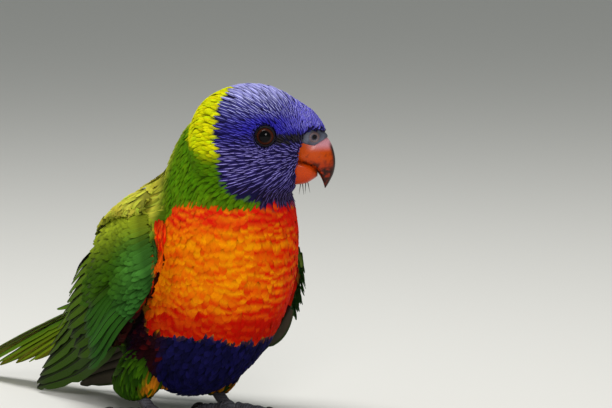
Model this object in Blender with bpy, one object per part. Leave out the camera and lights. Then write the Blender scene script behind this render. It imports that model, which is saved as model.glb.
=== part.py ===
"""Rainbow lorikeet, life size, standing low on the floor with its head turned to its left.

The bird faces -Y with +Z up, so its own right side is at -X. Sizes are in millimetres,
turned to metres by MM, and were worked out on the bird standing with its feet about X = 0,
Y = 0. The last step moves every piece so that the origin is at the bottom centre of the
bird's box.
"""

import math

import bmesh
import bpy
import numpy as np
from mathutils import Matrix, Vector

MM = 0.001
GAP = 0.3  # clearance that touching pieces keep
WELD = 0.004  # points this close together after a cut are one point

SIDES = (("right", -1.0), ("left", 1.0))


def clear_scene():
    for thing in list(bpy.data.objects):
        bpy.data.objects.remove(thing)
    for mesh in list(bpy.data.meshes):
        bpy.data.meshes.remove(mesh)


def new_collection(name):
    collection = bpy.data.collections.new(name)
    bpy.context.scene.collection.children.link(collection)
    return collection


def material(name, colour, roughness, metallic=0.0):
    made = bpy.data.materials.new(name)
    made.use_nodes = True
    shader = made.node_tree.nodes["Principled BSDF"]
    shader.inputs["Base Color"].default_value = (*colour, 1.0)
    shader.inputs["Roughness"].default_value = roughness
    shader.inputs["Metallic"].default_value = metallic
    made.diffuse_color = (*colour, 1.0)
    return made


def through(stations, count):
    """Rows of numbers read from a smooth curve that passes through every station."""
    rows = np.array(stations, float)
    last = len(rows) - 1
    found = []
    for place in np.linspace(0, last, count):
        i = min(int(place), last - 1)
        t = place - i
        before = rows[max(i - 1, 0)]
        here = rows[i]
        after = rows[i + 1]
        beyond = rows[min(i + 2, last)]
        leave = (after - before) / 2
        arrive = (beyond - here) / 2
        found.append(
            (2 * t**3 - 3 * t**2 + 1) * here
            + (t**3 - 2 * t**2 + t) * leave
            + (3 * t**2 - 2 * t**3) * after
            + (t**3 - t**2) * arrive
        )
    return found


def signed_power(value, power):
    return math.copysign(abs(value) ** power, value)


def oval(middle, side, up, half_width, half_up, half_down, count, fullness=2.0):
    """A ring of points: an ellipse with its own height above and below the middle.
    A fullness over 2 makes it squarer."""
    ring = []
    for k in range(count):
        turn = 2 * math.pi * k / count
        across = signed_power(math.cos(turn), 2 / fullness) * half_width
        rise = signed_power(math.sin(turn), 2 / fullness)
        rise *= half_up if rise > 0 else half_down
        ring.append(middle + side * across + up * rise)
    return ring


def loft(rings):
    """Points and triangles of a closed skin over rings of equally many points."""
    count = len(rings[0])
    points = [p for ring in rings for p in ring]
    faces = []
    for i in range(len(rings) - 1):
        for k in range(count):
            a = i * count + k
            b = i * count + (k + 1) % count
            faces.append((a, b, b + count))
            faces.append((a, b + count, a + count))
    for first, flip in ((0, True), ((len(rings) - 1) * count, False)):
        centre = len(points)
        points.append(sum(points[first : first + count], Vector()) / count)
        for k in range(count):
            edge = (first + k, first + (k + 1) % count)
            faces.append((edge[1], edge[0], centre) if flip else (*edge, centre))
    return points, faces


def mesh_object(name, shape, collection, finish=None, smooth=True):
    """A closed mesh object made from points in millimetres, with its faces turned out."""
    points, faces = shape
    mesh = bpy.data.meshes.new(name)
    mesh.from_pydata([Vector(p) * MM for p in points], [], faces)
    body = bmesh.new()
    body.from_mesh(mesh)
    bmesh.ops.recalc_face_normals(body, faces=body.faces)
    if body.calc_volume(signed=True) < 0:
        bmesh.ops.reverse_faces(body, faces=body.faces)
    body.to_mesh(mesh)
    body.free()
    made = bpy.data.objects.new(name, mesh)
    collection.objects.link(made)
    if finish:
        mesh.materials.append(finish)
    if smooth:
        mesh.shade_smooth()
        mesh.set_sharp_from_angle(angle=math.radians(50))
    return made


def apply_modifiers(thing):
    """Turns the evaluated shape into the object's own mesh."""
    graph = bpy.context.evaluated_depsgraph_get()
    graph.update()
    made = bpy.data.meshes.new_from_object(thing.evaluated_get(graph))
    old = thing.data
    thing.modifiers.clear()
    thing.data = made
    bpy.data.meshes.remove(old)
    made.name = thing.name


def grown(thing, name, by=GAP):
    """A hidden copy of a piece, larger all round by the clearance, to cut its neighbours."""
    copy = bpy.data.objects.new(name, thing.data.copy())
    CUTTERS.objects.link(copy)
    body = bmesh.new()
    body.from_mesh(copy.data)
    body.normal_update()
    for vertex in body.verts:
        vertex.co += vertex.normal * by * vertex.calc_shell_factor() * MM
    body.to_mesh(copy.data)
    body.free()
    copy.hide_render = True
    copy.display_type = "WIRE"
    return copy


def cut_away(thing, cutters, solver="EXACT"):
    for cutter in cutters:
        cut = thing.modifiers.new("clear of " + cutter.name, "BOOLEAN")
        cut.operation = "DIFFERENCE"
        cut.object = cutter
        cut.solver = solver
    apply_modifiers(thing)
    keep_largest(thing)


def join(thing, pieces, solver="EXACT"):
    """Fuses closed pieces into one body by one union on their collection."""
    group = new_collection("joining " + thing.name)
    for piece in pieces:
        for holder in list(piece.users_collection):
            holder.objects.unlink(piece)
        group.objects.link(piece)
    fuse = thing.modifiers.new("join", "BOOLEAN")
    fuse.operation = "UNION"
    fuse.operand_type = "COLLECTION"
    fuse.collection = group
    fuse.solver = solver
    apply_modifiers(thing)
    for piece in pieces:
        bpy.data.objects.remove(piece)
    bpy.data.collections.remove(group)
    keep_largest(thing)


def keep_largest(thing):
    """Drops every closed surface of a mesh but the largest one."""
    body = bmesh.new()
    body.from_mesh(thing.data)
    bmesh.ops.remove_doubles(body, verts=body.verts, dist=WELD * MM)
    bmesh.ops.triangulate(body, faces=body.faces, ngon_method="EAR_CLIP")
    seen = set()
    shells = []
    for start in body.faces:
        if start in seen:
            continue
        shell = []
        waiting = [start]
        seen.add(start)
        while waiting:
            face = waiting.pop()
            shell.append(face)
            for edge in face.edges:
                if len(edge.link_faces) != 2:
                    continue
                for other in edge.link_faces:
                    if other not in seen:
                        seen.add(other)
                        waiting.append(other)
        shells.append(shell)
    shells.sort(key=lambda shell: sum(face.calc_area() for face in shell))
    loose = [face for shell in shells[:-1] for face in shell]
    bmesh.ops.delete(body, geom=loose, context="FACES")
    body.to_mesh(thing.data)
    body.free()


# Colours, as a first guess at the plumage that scene.py paints in full

clear_scene()
BIRD = new_collection("rainbow_lorikeet")
CUTTERS = new_collection("cutters")

HOOD_BLUE = material("hood_blue", (0.10, 0.08, 0.42), 0.7)
COLLAR_GREEN = material("collar_green", (0.45, 0.60, 0.03), 0.7)
BREAST_ORANGE = material("breast_orange", (0.90, 0.22, 0.01), 0.7)
BACK_GREEN = material("back_green", (0.07, 0.26, 0.02), 0.65)
WING_GREEN = material("wing_green", (0.05, 0.24, 0.03), 0.6)
TAIL_GREEN = material("tail_green", (0.12, 0.30, 0.03), 0.6)
THIGH_GREEN = material("thigh_green", (0.20, 0.35, 0.03), 0.7)
BILL_ORANGE = material("bill_orange", (0.80, 0.14, 0.01), 0.3)
CERE_GREY = material("cere_grey", (0.10, 0.10, 0.12), 0.5)
EYE_BROWN = material("eye_brown", (0.05, 0.02, 0.01), 0.08)
SKIN_GREY = material("skin_grey", (0.13, 0.13, 0.15), 0.6)
CLAW_BLACK = material("claw_black", (0.03, 0.03, 0.03), 0.35)


# The trunk: one smooth form from the tail's root to inside the head, cut later into the
# rump, torso and neck. Each station is a back point and a belly point on the bird's middle
# plane (y, z, y, z), the half width, and how far the middle is set to the bird's left.

TRUNK = (
    (57, 47, 54, 37, 6.5, 0),
    (48, 54.5, 42, 27.5, 12.5, 0),
    (38, 64, 28, 17, 18.5, 0),
    (26, 74.5, 12, 9.5, 23, 0),
    (14, 84, -4, 7, 25.5, 0),
    (4, 92, -21.5, 13.5, 27.5, 0),
    (-1, 98, -39, 27.5, 28.3, 0),
    (-3, 103.5, -51, 46, 27.7, 0),
    (-4, 108, -57, 64, 26, -0.3),
    (-6.5, 113, -58, 79, 23.5, -0.6),
    (-11, 118.5, -57, 89, 20, -1.4),
    (-18, 124, -54.5, 97, 15, -2),
    (-27, 128, -51, 105, 10, -1.5),
    (-36, 128, -48, 112, 6, 0),
)
TRUNK_RINGS = 28
TRUNK_SIDES = 24
TRUNK_STEPS = 240  # steps of the smooth curve that the rings are read from
TRUNK_FULLNESS = 2.15
RUMP_CUT = 0.115  # share of the trunk's length, from the tail, that is the rump
NECK_CUT = 0.66  # share of its length where the torso meets the neck


def trunk_ring(row, count):
    back = Vector((row[5], row[0], row[1]))
    belly = Vector((row[5], row[2], row[3]))
    up = (back - belly).normalized()
    half = (back - belly).length / 2
    return oval(
        (back + belly) / 2,
        Vector((1, 0, 0)),
        up,
        row[4],
        half,
        half,
        count,
        TRUNK_FULLNESS,
    )


def trunk_piece(name, start, end, finish):
    """The trunk between two shares of its length."""
    rows = through(TRUNK, TRUNK_STEPS + 1)
    count = max(4, round(TRUNK_RINGS * (end - start)) + 1)
    shares = [start + (end - start) * k / (count - 1) for k in range(count)]
    rings = [trunk_ring(rows[round(TRUNK_STEPS * share)], TRUNK_SIDES) for share in shares]
    return mesh_object(name, loft(rings), BIRD, finish)


TRUNK_LENGTH = 145.0  # rough length of the trunk's middle line, to turn the gap into a share
SEAM_SLANT = 1.6  # the rings stand askew, so a seam needs more of the length than its gap
SEAM = GAP / TRUNK_LENGTH * SEAM_SLANT
torso = trunk_piece("torso", RUMP_CUT + SEAM, NECK_CUT - SEAM, BREAST_ORANGE)
neck = trunk_piece("neck", NECK_CUT + SEAM, 1.0, COLLAR_GREEN)
rump = trunk_piece("rump", 0.0, RUMP_CUT - SEAM, BACK_GREEN)


# The head, modelled level and looking along its own axis, then turned to the bird's left.
# Each station is a distance ahead of the head's centre, the top, the bottom, the half width
# and the height of the widest level.

HEAD_CENTRE = Vector((2, -46, 116))
HEAD_TURN = math.radians(49)
AHEAD = Vector((math.sin(HEAD_TURN), -math.cos(HEAD_TURN), 0))
LEFTWARD = Vector((math.cos(HEAD_TURN), math.sin(HEAD_TURN), 0))
UP = Vector((0, 0, 1))

HEAD = (
    (-28.5, 2, -12, 7, -5),
    (-25.5, 9.5, -20, 12.5, -5),
    (-19, 15.8, -26, 16, -6),
    (-11, 18.8, -28, 17, -7),
    (-4, 19.7, -28.8, 16.5, -8),
    (3, 19.0, -28.6, 14.6, -8),
    (8, 17.2, -27, 12.8, -8),
    (12, 15, -24.5, 10.8, -6),
    (14.4, 13.4, -19.8, 9.0, -2),
    (16, 12.2, -9, 8.2, 2),
    (18.5, 10.3, -4.5, 7.4, 3.5),
    (21.5, 7.3, -2.2, 6.1, 3),
    (24, 3.6, -1, 4.2, 1.5),
    (25.3, 0.8, -0.6, 1.6, 0.2),
)
HEAD_RINGS = 24
HEAD_SIDES = 22
HEAD_FULLNESS = 2.1


def head_place(ahead, left, up):
    """A point given in the head's own directions."""
    return HEAD_CENTRE + AHEAD * ahead + LEFTWARD * left + UP * up


def head_ring(row):
    return oval(
        head_place(row[0], 0, row[4]),
        LEFTWARD,
        UP,
        row[3],
        row[1] - row[4],
        row[4] - row[2],
        HEAD_SIDES,
        HEAD_FULLNESS,
    )


head = mesh_object(
    "head", loft([head_ring(row) for row in through(HEAD, HEAD_RINGS)]), BIRD, HOOD_BLUE
)


# The bill: the hooked upper mandible, the cere over its root with the two nostrils, and the
# scoop of the lower mandible. Upper stations are a point on the ridge and one on the cutting
# edge (ahead, up, ahead, up) and the half width.

UPPER_BILL = (
    (18.5, 1.0, 12.0, -11.4, 5.0),
    (24.4, -0.9, 14.5, -12.0, 5.7),
    (27.0, -3.6, 16.8, -12.8, 5.5),
    (28.5, -7.6, 19.0, -13.3, 5.0),
    (29.0, -11.8, 20.8, -14.2, 4.2),
    (28.4, -15.6, 22.3, -15.9, 3.1),
    (27.1, -18.5, 23.6, -18.0, 2.0),
    (25.9, -20.6, 24.5, -20.2, 1.1),
    (25.1, -21.8, 24.9, -21.7, 0.5),
)
LOWER_BILL = (
    (11.5, -11.0, -20.6, 4.8),
    (14.6, -10.8, -20.4, 5.2),
    (17.6, -11.6, -19.9, 4.9),
    (20.0, -12.8, -18.6, 4.1),
    (22.0, -14.4, -17.2, 2.6),
)
CERE = (
    (15.5, 3.5, 14.0, -3.6, 5.2),
    (21.5, 2.6, 16.0, -5.2, 6.1),
    (25.2, -0.2, 18.2, -5.7, 6.2),
    (26.1, -1.6, 19.6, -5.9, 5.7),
)
NOSTRIL_AHEAD = 21.2
NOSTRIL_UP = -1.6
NOSTRIL_RADIUS = 1.0
NOSTRIL_DEPTH = 1.6
UPPER_WIDEST = 0.36  # share of the height from cutting edge to ridge where it is widest
CERE_WIDEST = 0.42
LOWER_FULLNESS = 2.2
LOWER_RIM = 2.2  # how far the lower bill's widest level is under its cutting edge


def bill_ring(row, widest):
    """A ring between ridge and cutting edge: narrow at the ridge and widest low down."""
    ridge = head_place(row[0], 0, row[1])
    edge = head_place(row[2], 0, row[3])
    rise = ridge - edge
    middle = edge + rise * widest
    return oval(
        middle,
        LEFTWARD,
        rise.normalized(),
        row[4],
        rise.length * (1 - widest),
        rise.length * widest,
        14,
    )


bill_upper = mesh_object(
    "bill_upper",
    loft([bill_ring(row, UPPER_WIDEST) for row in through(UPPER_BILL, 13)]),
    BIRD,
    BILL_ORANGE,
)
cere = mesh_object(
    "cere", loft([bill_ring(row, CERE_WIDEST) for row in through(CERE, 6)]), BIRD, CERE_GREY
)
bill_lower = mesh_object(
    "bill_lower",
    loft(
        [
            oval(
                head_place(row[0], 0, row[1] - LOWER_RIM),
                LEFTWARD,
                UP,
                row[3],
                LOWER_RIM,
                row[1] - LOWER_RIM - row[2],
                12,
                LOWER_FULLNESS,
            )
            for row in through(LOWER_BILL, 8)
        ]
    ),
    BIRD,
    BILL_ORANGE,
)


def rod(name, start, end, radius, collection, count=12):
    """A straight round bar between two points."""
    along = (end - start).normalized()
    side = along.orthogonal().normalized()
    up = along.cross(side)
    rings = [oval(spot, side, up, radius, radius, radius, count) for spot in (start, end)]
    made = mesh_object(name, loft(rings), collection)
    made.hide_render = collection == CUTTERS
    if made.hide_render:
        made.display_type = "WIRE"
    return made


nostrils = []
for side_name, side in SIDES:
    nostrils.append(
        rod(
            "nostril_" + side_name,
            head_place(NOSTRIL_AHEAD, side * (CERE[1][4] - NOSTRIL_DEPTH), NOSTRIL_UP),
            head_place(NOSTRIL_AHEAD, side * (CERE[1][4] + 2), NOSTRIL_UP),
            NOSTRIL_RADIUS,
            CUTTERS,
        )
    )


# The eyes and their lids. The lids are two arcs that close round each eye.

EYE_AHEAD = 2.6
EYE_UP = -0.8
EYE_RADIUS = 4.0
EYE_DEPTH = 10.4  # from the head's middle plane to the eye's centre
LID_RING = 3.65  # radius of the ring that the lids follow
LID_THICK = 0.6
LID_OUT = 0.9  # how far the lids' ring stands out from the eye where it crosses it
LID_LEVEL = math.sqrt(EYE_RADIUS**2 - LID_RING**2) + LID_OUT
LID_OUTER = 1.1  # how far a lid reaches outwards and inwards from its ring
LID_INNER = 1.4
LID_OPEN = math.radians(4)
LID_STEPS = 7
LID_RECESS = 1.1  # how deep the lids sit in the head's surface


def eye_spot(side):
    return head_place(EYE_AHEAD, side * EYE_DEPTH, EYE_UP)


def ball(name, centre, radius, collection, finish=None, across=16, down=10):
    body = bmesh.new()
    bmesh.ops.create_uvsphere(
        body, u_segments=across, v_segments=down, radius=radius * MM
    )
    mesh = bpy.data.meshes.new(name)
    body.to_mesh(mesh)
    body.free()
    mesh.transform(Matrix.Translation(centre * MM))
    mesh.shade_smooth()
    if finish:
        mesh.materials.append(finish)
    made = bpy.data.objects.new(name, mesh)
    collection.objects.link(made)
    return made


def lid(name, side, start, end):
    """An arc of lid round the eye, from one corner to the other."""
    out = LEFTWARD * side
    centre = eye_spot(side) + out * LID_LEVEL
    rings = []
    for k in range(LID_STEPS + 1):
        turn = start + (end - start) * k / LID_STEPS
        radial = AHEAD * math.cos(turn) + UP * math.sin(turn)
        taper = 0.55 + 0.45 * math.sin(math.pi * k / LID_STEPS) ** 0.5
        rings.append(
            oval(
                centre + radial * LID_RING,
                radial,
                out,
                LID_THICK * taper,
                LID_OUTER * taper,
                LID_INNER * taper,
                6,
            )
        )
    return mesh_object(name, loft(rings), BIRD, SKIN_GREY)


eyes = []
lids = []
for side_name, side in SIDES:
    eyes.append(ball("eye_" + side_name, eye_spot(side), EYE_RADIUS, BIRD, EYE_BROWN))
    lids.append(lid("lid_upper_" + side_name, side, LID_OPEN, math.pi - LID_OPEN))
    lids.append(
        lid("lid_lower_" + side_name, side, -LID_OPEN, LID_OPEN - math.pi)
    )

eye_cutters = [grown(eye, eye.name + "_clear") for eye in eyes]
for lid_piece in lids:
    cut_away(lid_piece, eye_cutters)
cut_away(cere, nostrils)
cere_cutter = grown(cere, "cere_clear")
cut_away(bill_upper, [cere_cutter])
upper_cutter = grown(bill_upper, "bill_upper_clear")
cut_away(bill_lower, [upper_cutter, cere_cutter])
lower_cutter = grown(bill_lower, "bill_lower_clear")
lid_sockets = []
socket_floor = EYE_DEPTH + LID_LEVEL - LID_RECESS - 2 * GAP
for side_name, side in SIDES:
    lid_sockets.append(
        rod(
            "lid_socket_" + side_name,
            head_place(EYE_AHEAD, side * socket_floor, EYE_UP),
            head_place(EYE_AHEAD, side * (EYE_DEPTH + LID_LEVEL + 6), EYE_UP),
            LID_RING + LID_THICK + GAP,
            CUTTERS,
            16,
        )
    )
head_cutter = grown(head, "head_clear")
cut_away(neck, [head_cutter])
cut_away(torso, [head_cutter])
cut_away(head, [cere_cutter, upper_cutter, lower_cutter, *eye_cutters, *lid_sockets])


# The legs: feathered thighs, short tarsi, and feet with two toes ahead and two behind.
# The bird crouches, so the thighs reach almost to the floor.

FOOT_SPREAD = 17.0
FOOT_STEP = {"right": 2.0, "left": -2.0}
THIGH = (
    # how far behind the foot, height, half width, half length
    (-4, 34, 6, 9),
    (0, 27, 8.6, 14),
    (6, 18, 8.6, 15.5),
    (10, 11.5, 8.0, 14),
    (10.5, 7.6, 6.4, 10),
    (9.5, 5.6, 4.0, 5.5),
)
THIGH_SPREAD = 17.5
TARSUS_START = (8.0, 8.6)
TARSUS_END = (1.5, 4.4)
TARSUS_RADIUS = 2.3
PAD_SIZE = (3.6, 3.9, 2.9)
PAD_SINK = 0.8  # share of the pad's height between its middle and the floor
TOES = (
    # name, heading from straight ahead towards the outside, length, radius at the root and
    # how far outside the foot's middle line the root is
    ("inner_front", -12, 15.0, 2.1, -2.6),
    ("outer_front", 14, 20.0, 2.3, 2.6),
    ("inner_back", -162, 11.0, 2.0, -2.4),
    ("outer_back", 156, 17.0, 2.2, 2.5),
)
TOE_START = 2.6  # how far from the foot's middle a toe begins
TOE_STEPS = 7
TOE_PADS = 3
TOE_SWELL = 0.10  # how much a toe swells at each pad, as a share
TOE_END = 0.72  # how much narrower its two ends are
TOE_TAPER = 0.28
CLAW_LENGTH = 6.5
CLAW_BEND = CLAW_LENGTH * 0.62  # radius of a claw's curve
CLAW_RISE = math.radians(18)  # how steeply a claw starts upwards
CLAW_SWEEP = math.radians(96)  # how far it bends down from there
CLAW_ROOT = 1.25
CLAW_POINT = 0.16
CLAW_STEPS = 4
CLAW_SET = 0.9  # how far a claw's root lies inside the toe's end


def leg_origin(side_name, side):
    return Vector((side * FOOT_SPREAD, FOOT_STEP[side_name], 0))


def thigh_shape(side_name, side):
    rings = []
    for back, height, half_width, half_length in through(THIGH, 10):
        middle = Vector(
            (side * THIGH_SPREAD, FOOT_STEP[side_name] + back, height)
        )
        rings.append(
            oval(
                middle,
                Vector((1, 0, 0)),
                Vector((0, 1, 0)),
                half_width,
                half_length,
                half_length,
                16,
            )
        )
    return loft(rings)


def on_floor(points, level=0.0):
    """Flattens the underside of a foot piece where it meets the floor."""
    return [Vector((p.x, p.y, max(p.z, level))) for p in points]


def toe_heading(side, heading):
    turn = math.radians(heading)
    return Vector((side * math.sin(turn), -math.cos(turn), 0))


def toe_shape(origin, side, heading, length, radius):
    """A toe of three joints with a pad under each, flat where it stands."""
    along = toe_heading(side, heading)
    across = along.cross(UP)
    rings = []
    for k in range(TOE_STEPS + 1):
        t = k / TOE_STEPS
        swell = 1 + TOE_SWELL * math.cos(2 * math.pi * TOE_PADS * t)
        if k in (0, TOE_STEPS):
            swell *= TOE_END
        size = radius * (1 - TOE_TAPER * t) * swell
        rise = radius * (1 - 0.26 * t) * 0.86
        middle = origin + along * (TOE_START + (length - TOE_START) * t) + UP * rise
        ring = oval(middle, across, UP, size, size, size * 1.15, 8)
        rings.append(on_floor(ring))
    return loft(rings)


def claw_shape(origin, side, heading, length, radius):
    """A hooked claw that rises from the toe's end and bends down to the floor."""
    along = toe_heading(side, heading)
    across = along.cross(UP)
    rings = []
    for k in range(CLAW_STEPS + 1):
        t = k / CLAW_STEPS
        turn = CLAW_SWEEP * t - CLAW_RISE
        reach = CLAW_BEND * (math.sin(turn) + math.sin(CLAW_RISE))
        drop = CLAW_BEND * (math.cos(turn) - math.cos(CLAW_RISE))
        size = CLAW_ROOT * (1 - t) ** 0.8 + CLAW_POINT
        middle = origin + along * (length - CLAW_SET + reach)
        middle = middle + UP * (radius * 0.74 + 0.5 + drop)
        middle.z = max(middle.z, size + 0.05)
        tangent = along * math.cos(turn) - UP * math.sin(turn)
        rise = across.cross(tangent).normalized()
        rings.append(oval(middle, across, rise, size * 0.8, size, size, 6))
    return loft(rings)


torso_cutter = grown(torso, "torso_clear")
rump_cutter = grown(rump, "rump_clear")
neck_cutter = grown(neck, "neck_clear")
for side_name, side in SIDES:
    origin = leg_origin(side_name, side)
    thigh = mesh_object(
        "thigh_" + side_name, thigh_shape(side_name, side), BIRD, THIGH_GREEN
    )
    cut_away(thigh, [torso_cutter, rump_cutter])
    thigh_cutter = grown(thigh, f"thigh_{side_name}_clear")

    pad_middle = origin + UP * PAD_SIZE[2] * PAD_SINK
    pad_rings = []
    for k in range(9):
        turn = math.pi * (k / 8 - 0.5)
        size = max(math.cos(turn), 0.12)
        spot = pad_middle + Vector((0, PAD_SIZE[1] * math.sin(turn), 0))
        ring = oval(
            spot,
            Vector((1, 0, 0)),
            UP,
            PAD_SIZE[0] * size,
            PAD_SIZE[2] * size,
            PAD_SIZE[2] * size,
            12,
        )
        pad_rings.append(on_floor(ring))
    foot = mesh_object("foot_" + side_name, loft(pad_rings), BIRD, SKIN_GREY)
    foot_cutter = grown(foot, f"foot_{side_name}_clear")

    tarsus = rod(
        "tarsus_" + side_name,
        origin + Vector((0, TARSUS_START[0], TARSUS_START[1])),
        origin + Vector((0, TARSUS_END[0], TARSUS_END[1])),
        TARSUS_RADIUS,
        BIRD,
    )
    tarsus.data.materials.append(SKIN_GREY)
    cut_away(tarsus, [foot_cutter])
    cut_away(thigh, [grown(tarsus, f"tarsus_{side_name}_clear")])

    for toe_name, heading, length, radius, outside in TOES:
        name = f"{toe_name}_{side_name}"
        root = origin + Vector((side * outside, 0, 0))
        toe = mesh_object(
            "toe_" + name, toe_shape(root, side, heading, length, radius), BIRD, SKIN_GREY
        )
        claw = mesh_object(
            "claw_" + name,
            claw_shape(root, side, heading, length, radius),
            BIRD,
            CLAW_BLACK,
        )
        cut_away(toe, [foot_cutter])
        cut_away(claw, [grown(toe, name + "_clear")])


# The wings: each lies on a curved sheet that runs from the wrist back to the tips of the
# primaries. A row of the sheet is five points across it, from the middle of the back over
# the shoulder and side to the leading edge, each (outward, back, up). The left wing hangs
# a little lower and further out.

SHEET = {
    "right": (
        ((13, 3, 99), (24, -6, 91.5), (33, -19, 81.5), (36.5, -28.5, 69), (36, -26.5, 57)),
        ((10, 9, 92), (20, 4, 89), (31.5, -1, 79.5), (38.5, -11, 62), (38.5, -17, 45)),
        ((8, 16, 86.5), (18, 12, 86), (28, 12, 77), (37.5, 6, 54), (37.5, -3, 35)),
        ((6, 32, 74), (15, 31, 75.5), (24, 30, 70), (33.5, 26, 46), (34, 13, 22)),
        ((5, 47, 61), (12, 48, 62.5), (20.5, 48, 59), (28, 46, 35), (28, 35, 14.5)),
        ((5, 60, 52), (11, 64, 50), (15, 64, 45), (21, 65, 25), (21, 57, 9)),
        ((6, 80, 31), (11.5, 84, 19), (12.5, 92, 11.5), (13, 96.5, 5), (13.5, 95, 1.5)),
    ),
    "left": (
        ((13, 3, 99), (24, -6, 91.5), (33, -20, 80.5), (37.5, -29, 67), (38, -28, 54)),
        ((10, 9, 92), (20, 4, 89), (32, -3, 78.5), (39.5, -16, 59), (40, -21, 41)),
        ((8, 16, 86.5), (18, 12, 86), (29, 10, 76), (38.5, 1, 50), (39.5, -11, 29)),
        ((6, 32, 74), (15, 31, 75.5), (25.5, 29, 69), (35.5, 22, 43.5), (34.5, 6, 21)),
        ((5, 47, 61), (12, 48, 62.5), (21.5, 47, 58), (29, 43, 33), (29, 29, 14)),
        ((5, 60, 52), (11, 64, 50), (16, 63, 44), (22, 64, 24), (22, 55, 8)),
        ((6, 80, 31), (11.5, 84, 19), (13, 91, 11.5), (13.5, 95, 5), (14, 94, 1.5)),
    ),
}


def curve_weights(place, count):
    """Weights of a smooth curve through evenly spaced points, at a share of its length."""
    last = count - 1
    spot = min(max(place, 0.0), 1.0) * last
    i = min(int(spot), last - 1)
    t = spot - i
    weights = np.zeros(count)
    leave = t**3 - 2 * t**2 + t
    arrive = t**3 - t**2
    weights[i] += 2 * t**3 - 3 * t**2 + 1
    weights[i + 1] += 3 * t**2 - 2 * t**3
    weights[i + 1] += leave / 2
    weights[max(i - 1, 0)] -= leave / 2
    weights[min(i + 2, last)] += arrive / 2
    weights[i] -= arrive / 2
    return weights


def sheet_point(side_name, s, t):
    grid = np.array(SHEET[side_name], float)
    spot = np.einsum(
        "i,j,ijk->k", curve_weights(s, grid.shape[0]), curve_weights(t, grid.shape[1]), grid
    )
    side = -1.0 if side_name == "right" else 1.0
    return Vector((side * spot[0], spot[1], spot[2]))


def sheet_frame(side_name, s, t):
    """The sheet's point, its direction towards the tips and its outward normal."""
    step = 0.01
    s = min(max(s, step), 1 - step)
    t = min(max(t, step), 1 - step)
    spot = sheet_point(side_name, s, t)
    along = sheet_point(side_name, s + step, t) - sheet_point(side_name, s - step, t)
    across = sheet_point(side_name, s, t + step) - sheet_point(side_name, s, t - step)
    normal = along.cross(across).normalized()
    if side_name == "left":
        normal = -normal
    return spot, along.normalized(), normal


def sheet_height(side_name, s, t, height):
    """A point at a height over the sheet, outwards from the body."""
    return sheet_point(side_name, s, t) + sheet_frame(side_name, s, t)[2] * height


PAD_FULLNESS = 2.6


def pad(side_name, stations, count_along, count_round):
    """A soft slab on the sheet. Each station is a share of the way along it, the first and
    last share across it, and the heights of the top and bottom."""
    rings = []
    for s, first, last, top, bottom in through(stations, count_along):
        ring = []
        for k in range(count_round):
            turn = 2 * math.pi * k / count_round
            t = (first + last) / 2 + (last - first) / 2 * signed_power(
                math.cos(turn), 2 / PAD_FULLNESS
            )
            height = (top + bottom) / 2 + (top - bottom) / 2 * signed_power(
                math.sin(turn), 2 / PAD_FULLNESS
            )
            ring.append(sheet_height(side_name, s, t, height))
        rings.append(ring)
    return loft(rings)


# What the scapulars are cut by, the wing's flesh, and the scapulars themselves

WING_SPACE = (
    (0.0, 0.30, 1.0, 0.4, -9.5),
    (0.16, 0.24, 1.0, 1.3, -9.5),
    (0.33, 0.23, 1.0, 1.3, -9.5),
    (0.5, 0.23, 1.0, 1.3, -9.5),
    (0.67, 0.25, 1.0, 1.3, -9.5),
)
WING_CORE = (
    (0.0, 0.47, 0.93, -0.6, -3.0),
    (0.04, 0.41, 1.0, 0.0, -7.0),
    (0.12, 0.33, 1.0, 0.0, -9.5),
    (0.20, 0.29, 1.0, -0.8, -9.5),
    (0.33, 0.28, 1.0, -2.8, -9.5),
    (0.45, 0.32, 0.97, -4.8, -9.5),
    (0.55, 0.38, 0.92, -6.4, -9.4),
    (0.62, 0.45, 0.86, -7.6, -9.2),
)
SCAPULARS = (
    (0.02, 0.12, 0.42, 1.2, -3.0),
    (0.12, 0.08, 0.49, 2.8, -6.0),
    (0.28, 0.07, 0.48, 3.7, -6.0),
    (0.42, 0.07, 0.46, 3.9, -5.0),
    (0.54, 0.10, 0.42, 3.5, -3.0),
    (0.62, 0.14, 0.36, 2.6, -0.5),
)

# The wing's feathers, in tiers that lie on one another like roof tiles. Each tier gives how
# many, the root of the first and of the last feather, the tips of those two, the heights of
# root and tip, how much lower each next tip is, the half width, and the tilt that tucks
# each feather's upper edge under the one above it. Roots and tips are shares of the way
# along the sheet and of the way across it.

TIERS = (
    ("median covert", 6, (0.05, 0.24), (0.03, 0.82), (0.24, 0.17), (0.26, 0.87),
     -2.6, -0.3, 0.0, 5.2, 0.20),
    ("greater covert", 7, (0.10, 0.12), (0.13, 0.58), (0.46, 0.11), (0.44, 0.62),
     -5.6, -0.4, 0.0, 4.2, 0.31),
    ("primary covert", 3, (0.22, 0.66), (0.24, 0.80), (0.51, 0.70), (0.54, 0.88),
     -4.6, -0.1, 0.0, 3.8, 0.20),
    ("alula", 3, (0.21, 0.87), (0.20, 0.95), (0.51, 0.89), (0.575, 0.985),
     -2.3, 2.7, 0.3, 2.7, 0.34),
    ("secondary", 8, (0.27, 0.12), (0.30, 0.80), (0.76, 0.11), (0.64, 0.86),
     -7.2, -0.6, 0.0, 4.8, 0.28),
    ("primary", 6, (0.42, 0.28), (0.43, 0.90), (0.84, 0.16), (1.0, 0.98),
     -8.5, -1.2, 0.4, 4.8, 0.16),
)
VANE_THICKNESS = 0.5
VANE_STEP = 0.05  # how far each way a feather's own direction is measured
WING_CLEARANCE = 1.0  # how far the wing tips stay off the floor
FEATHERS_START = 0.26  # where across the sheet the wing's feathers begin
ARC_ROWS = 20
ARC_SPOTS = 25
SHORT_VANE = ((0.0, 0.6), (0.4, 1.0), (0.78, 0.86), (1.0, 0.24))  # place and share of width
LONG_VANE = ((0.0, 0.6), (0.3, 0.95), (0.6, 1.0), (0.86, 0.74), (1.0, 0.2))
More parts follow.
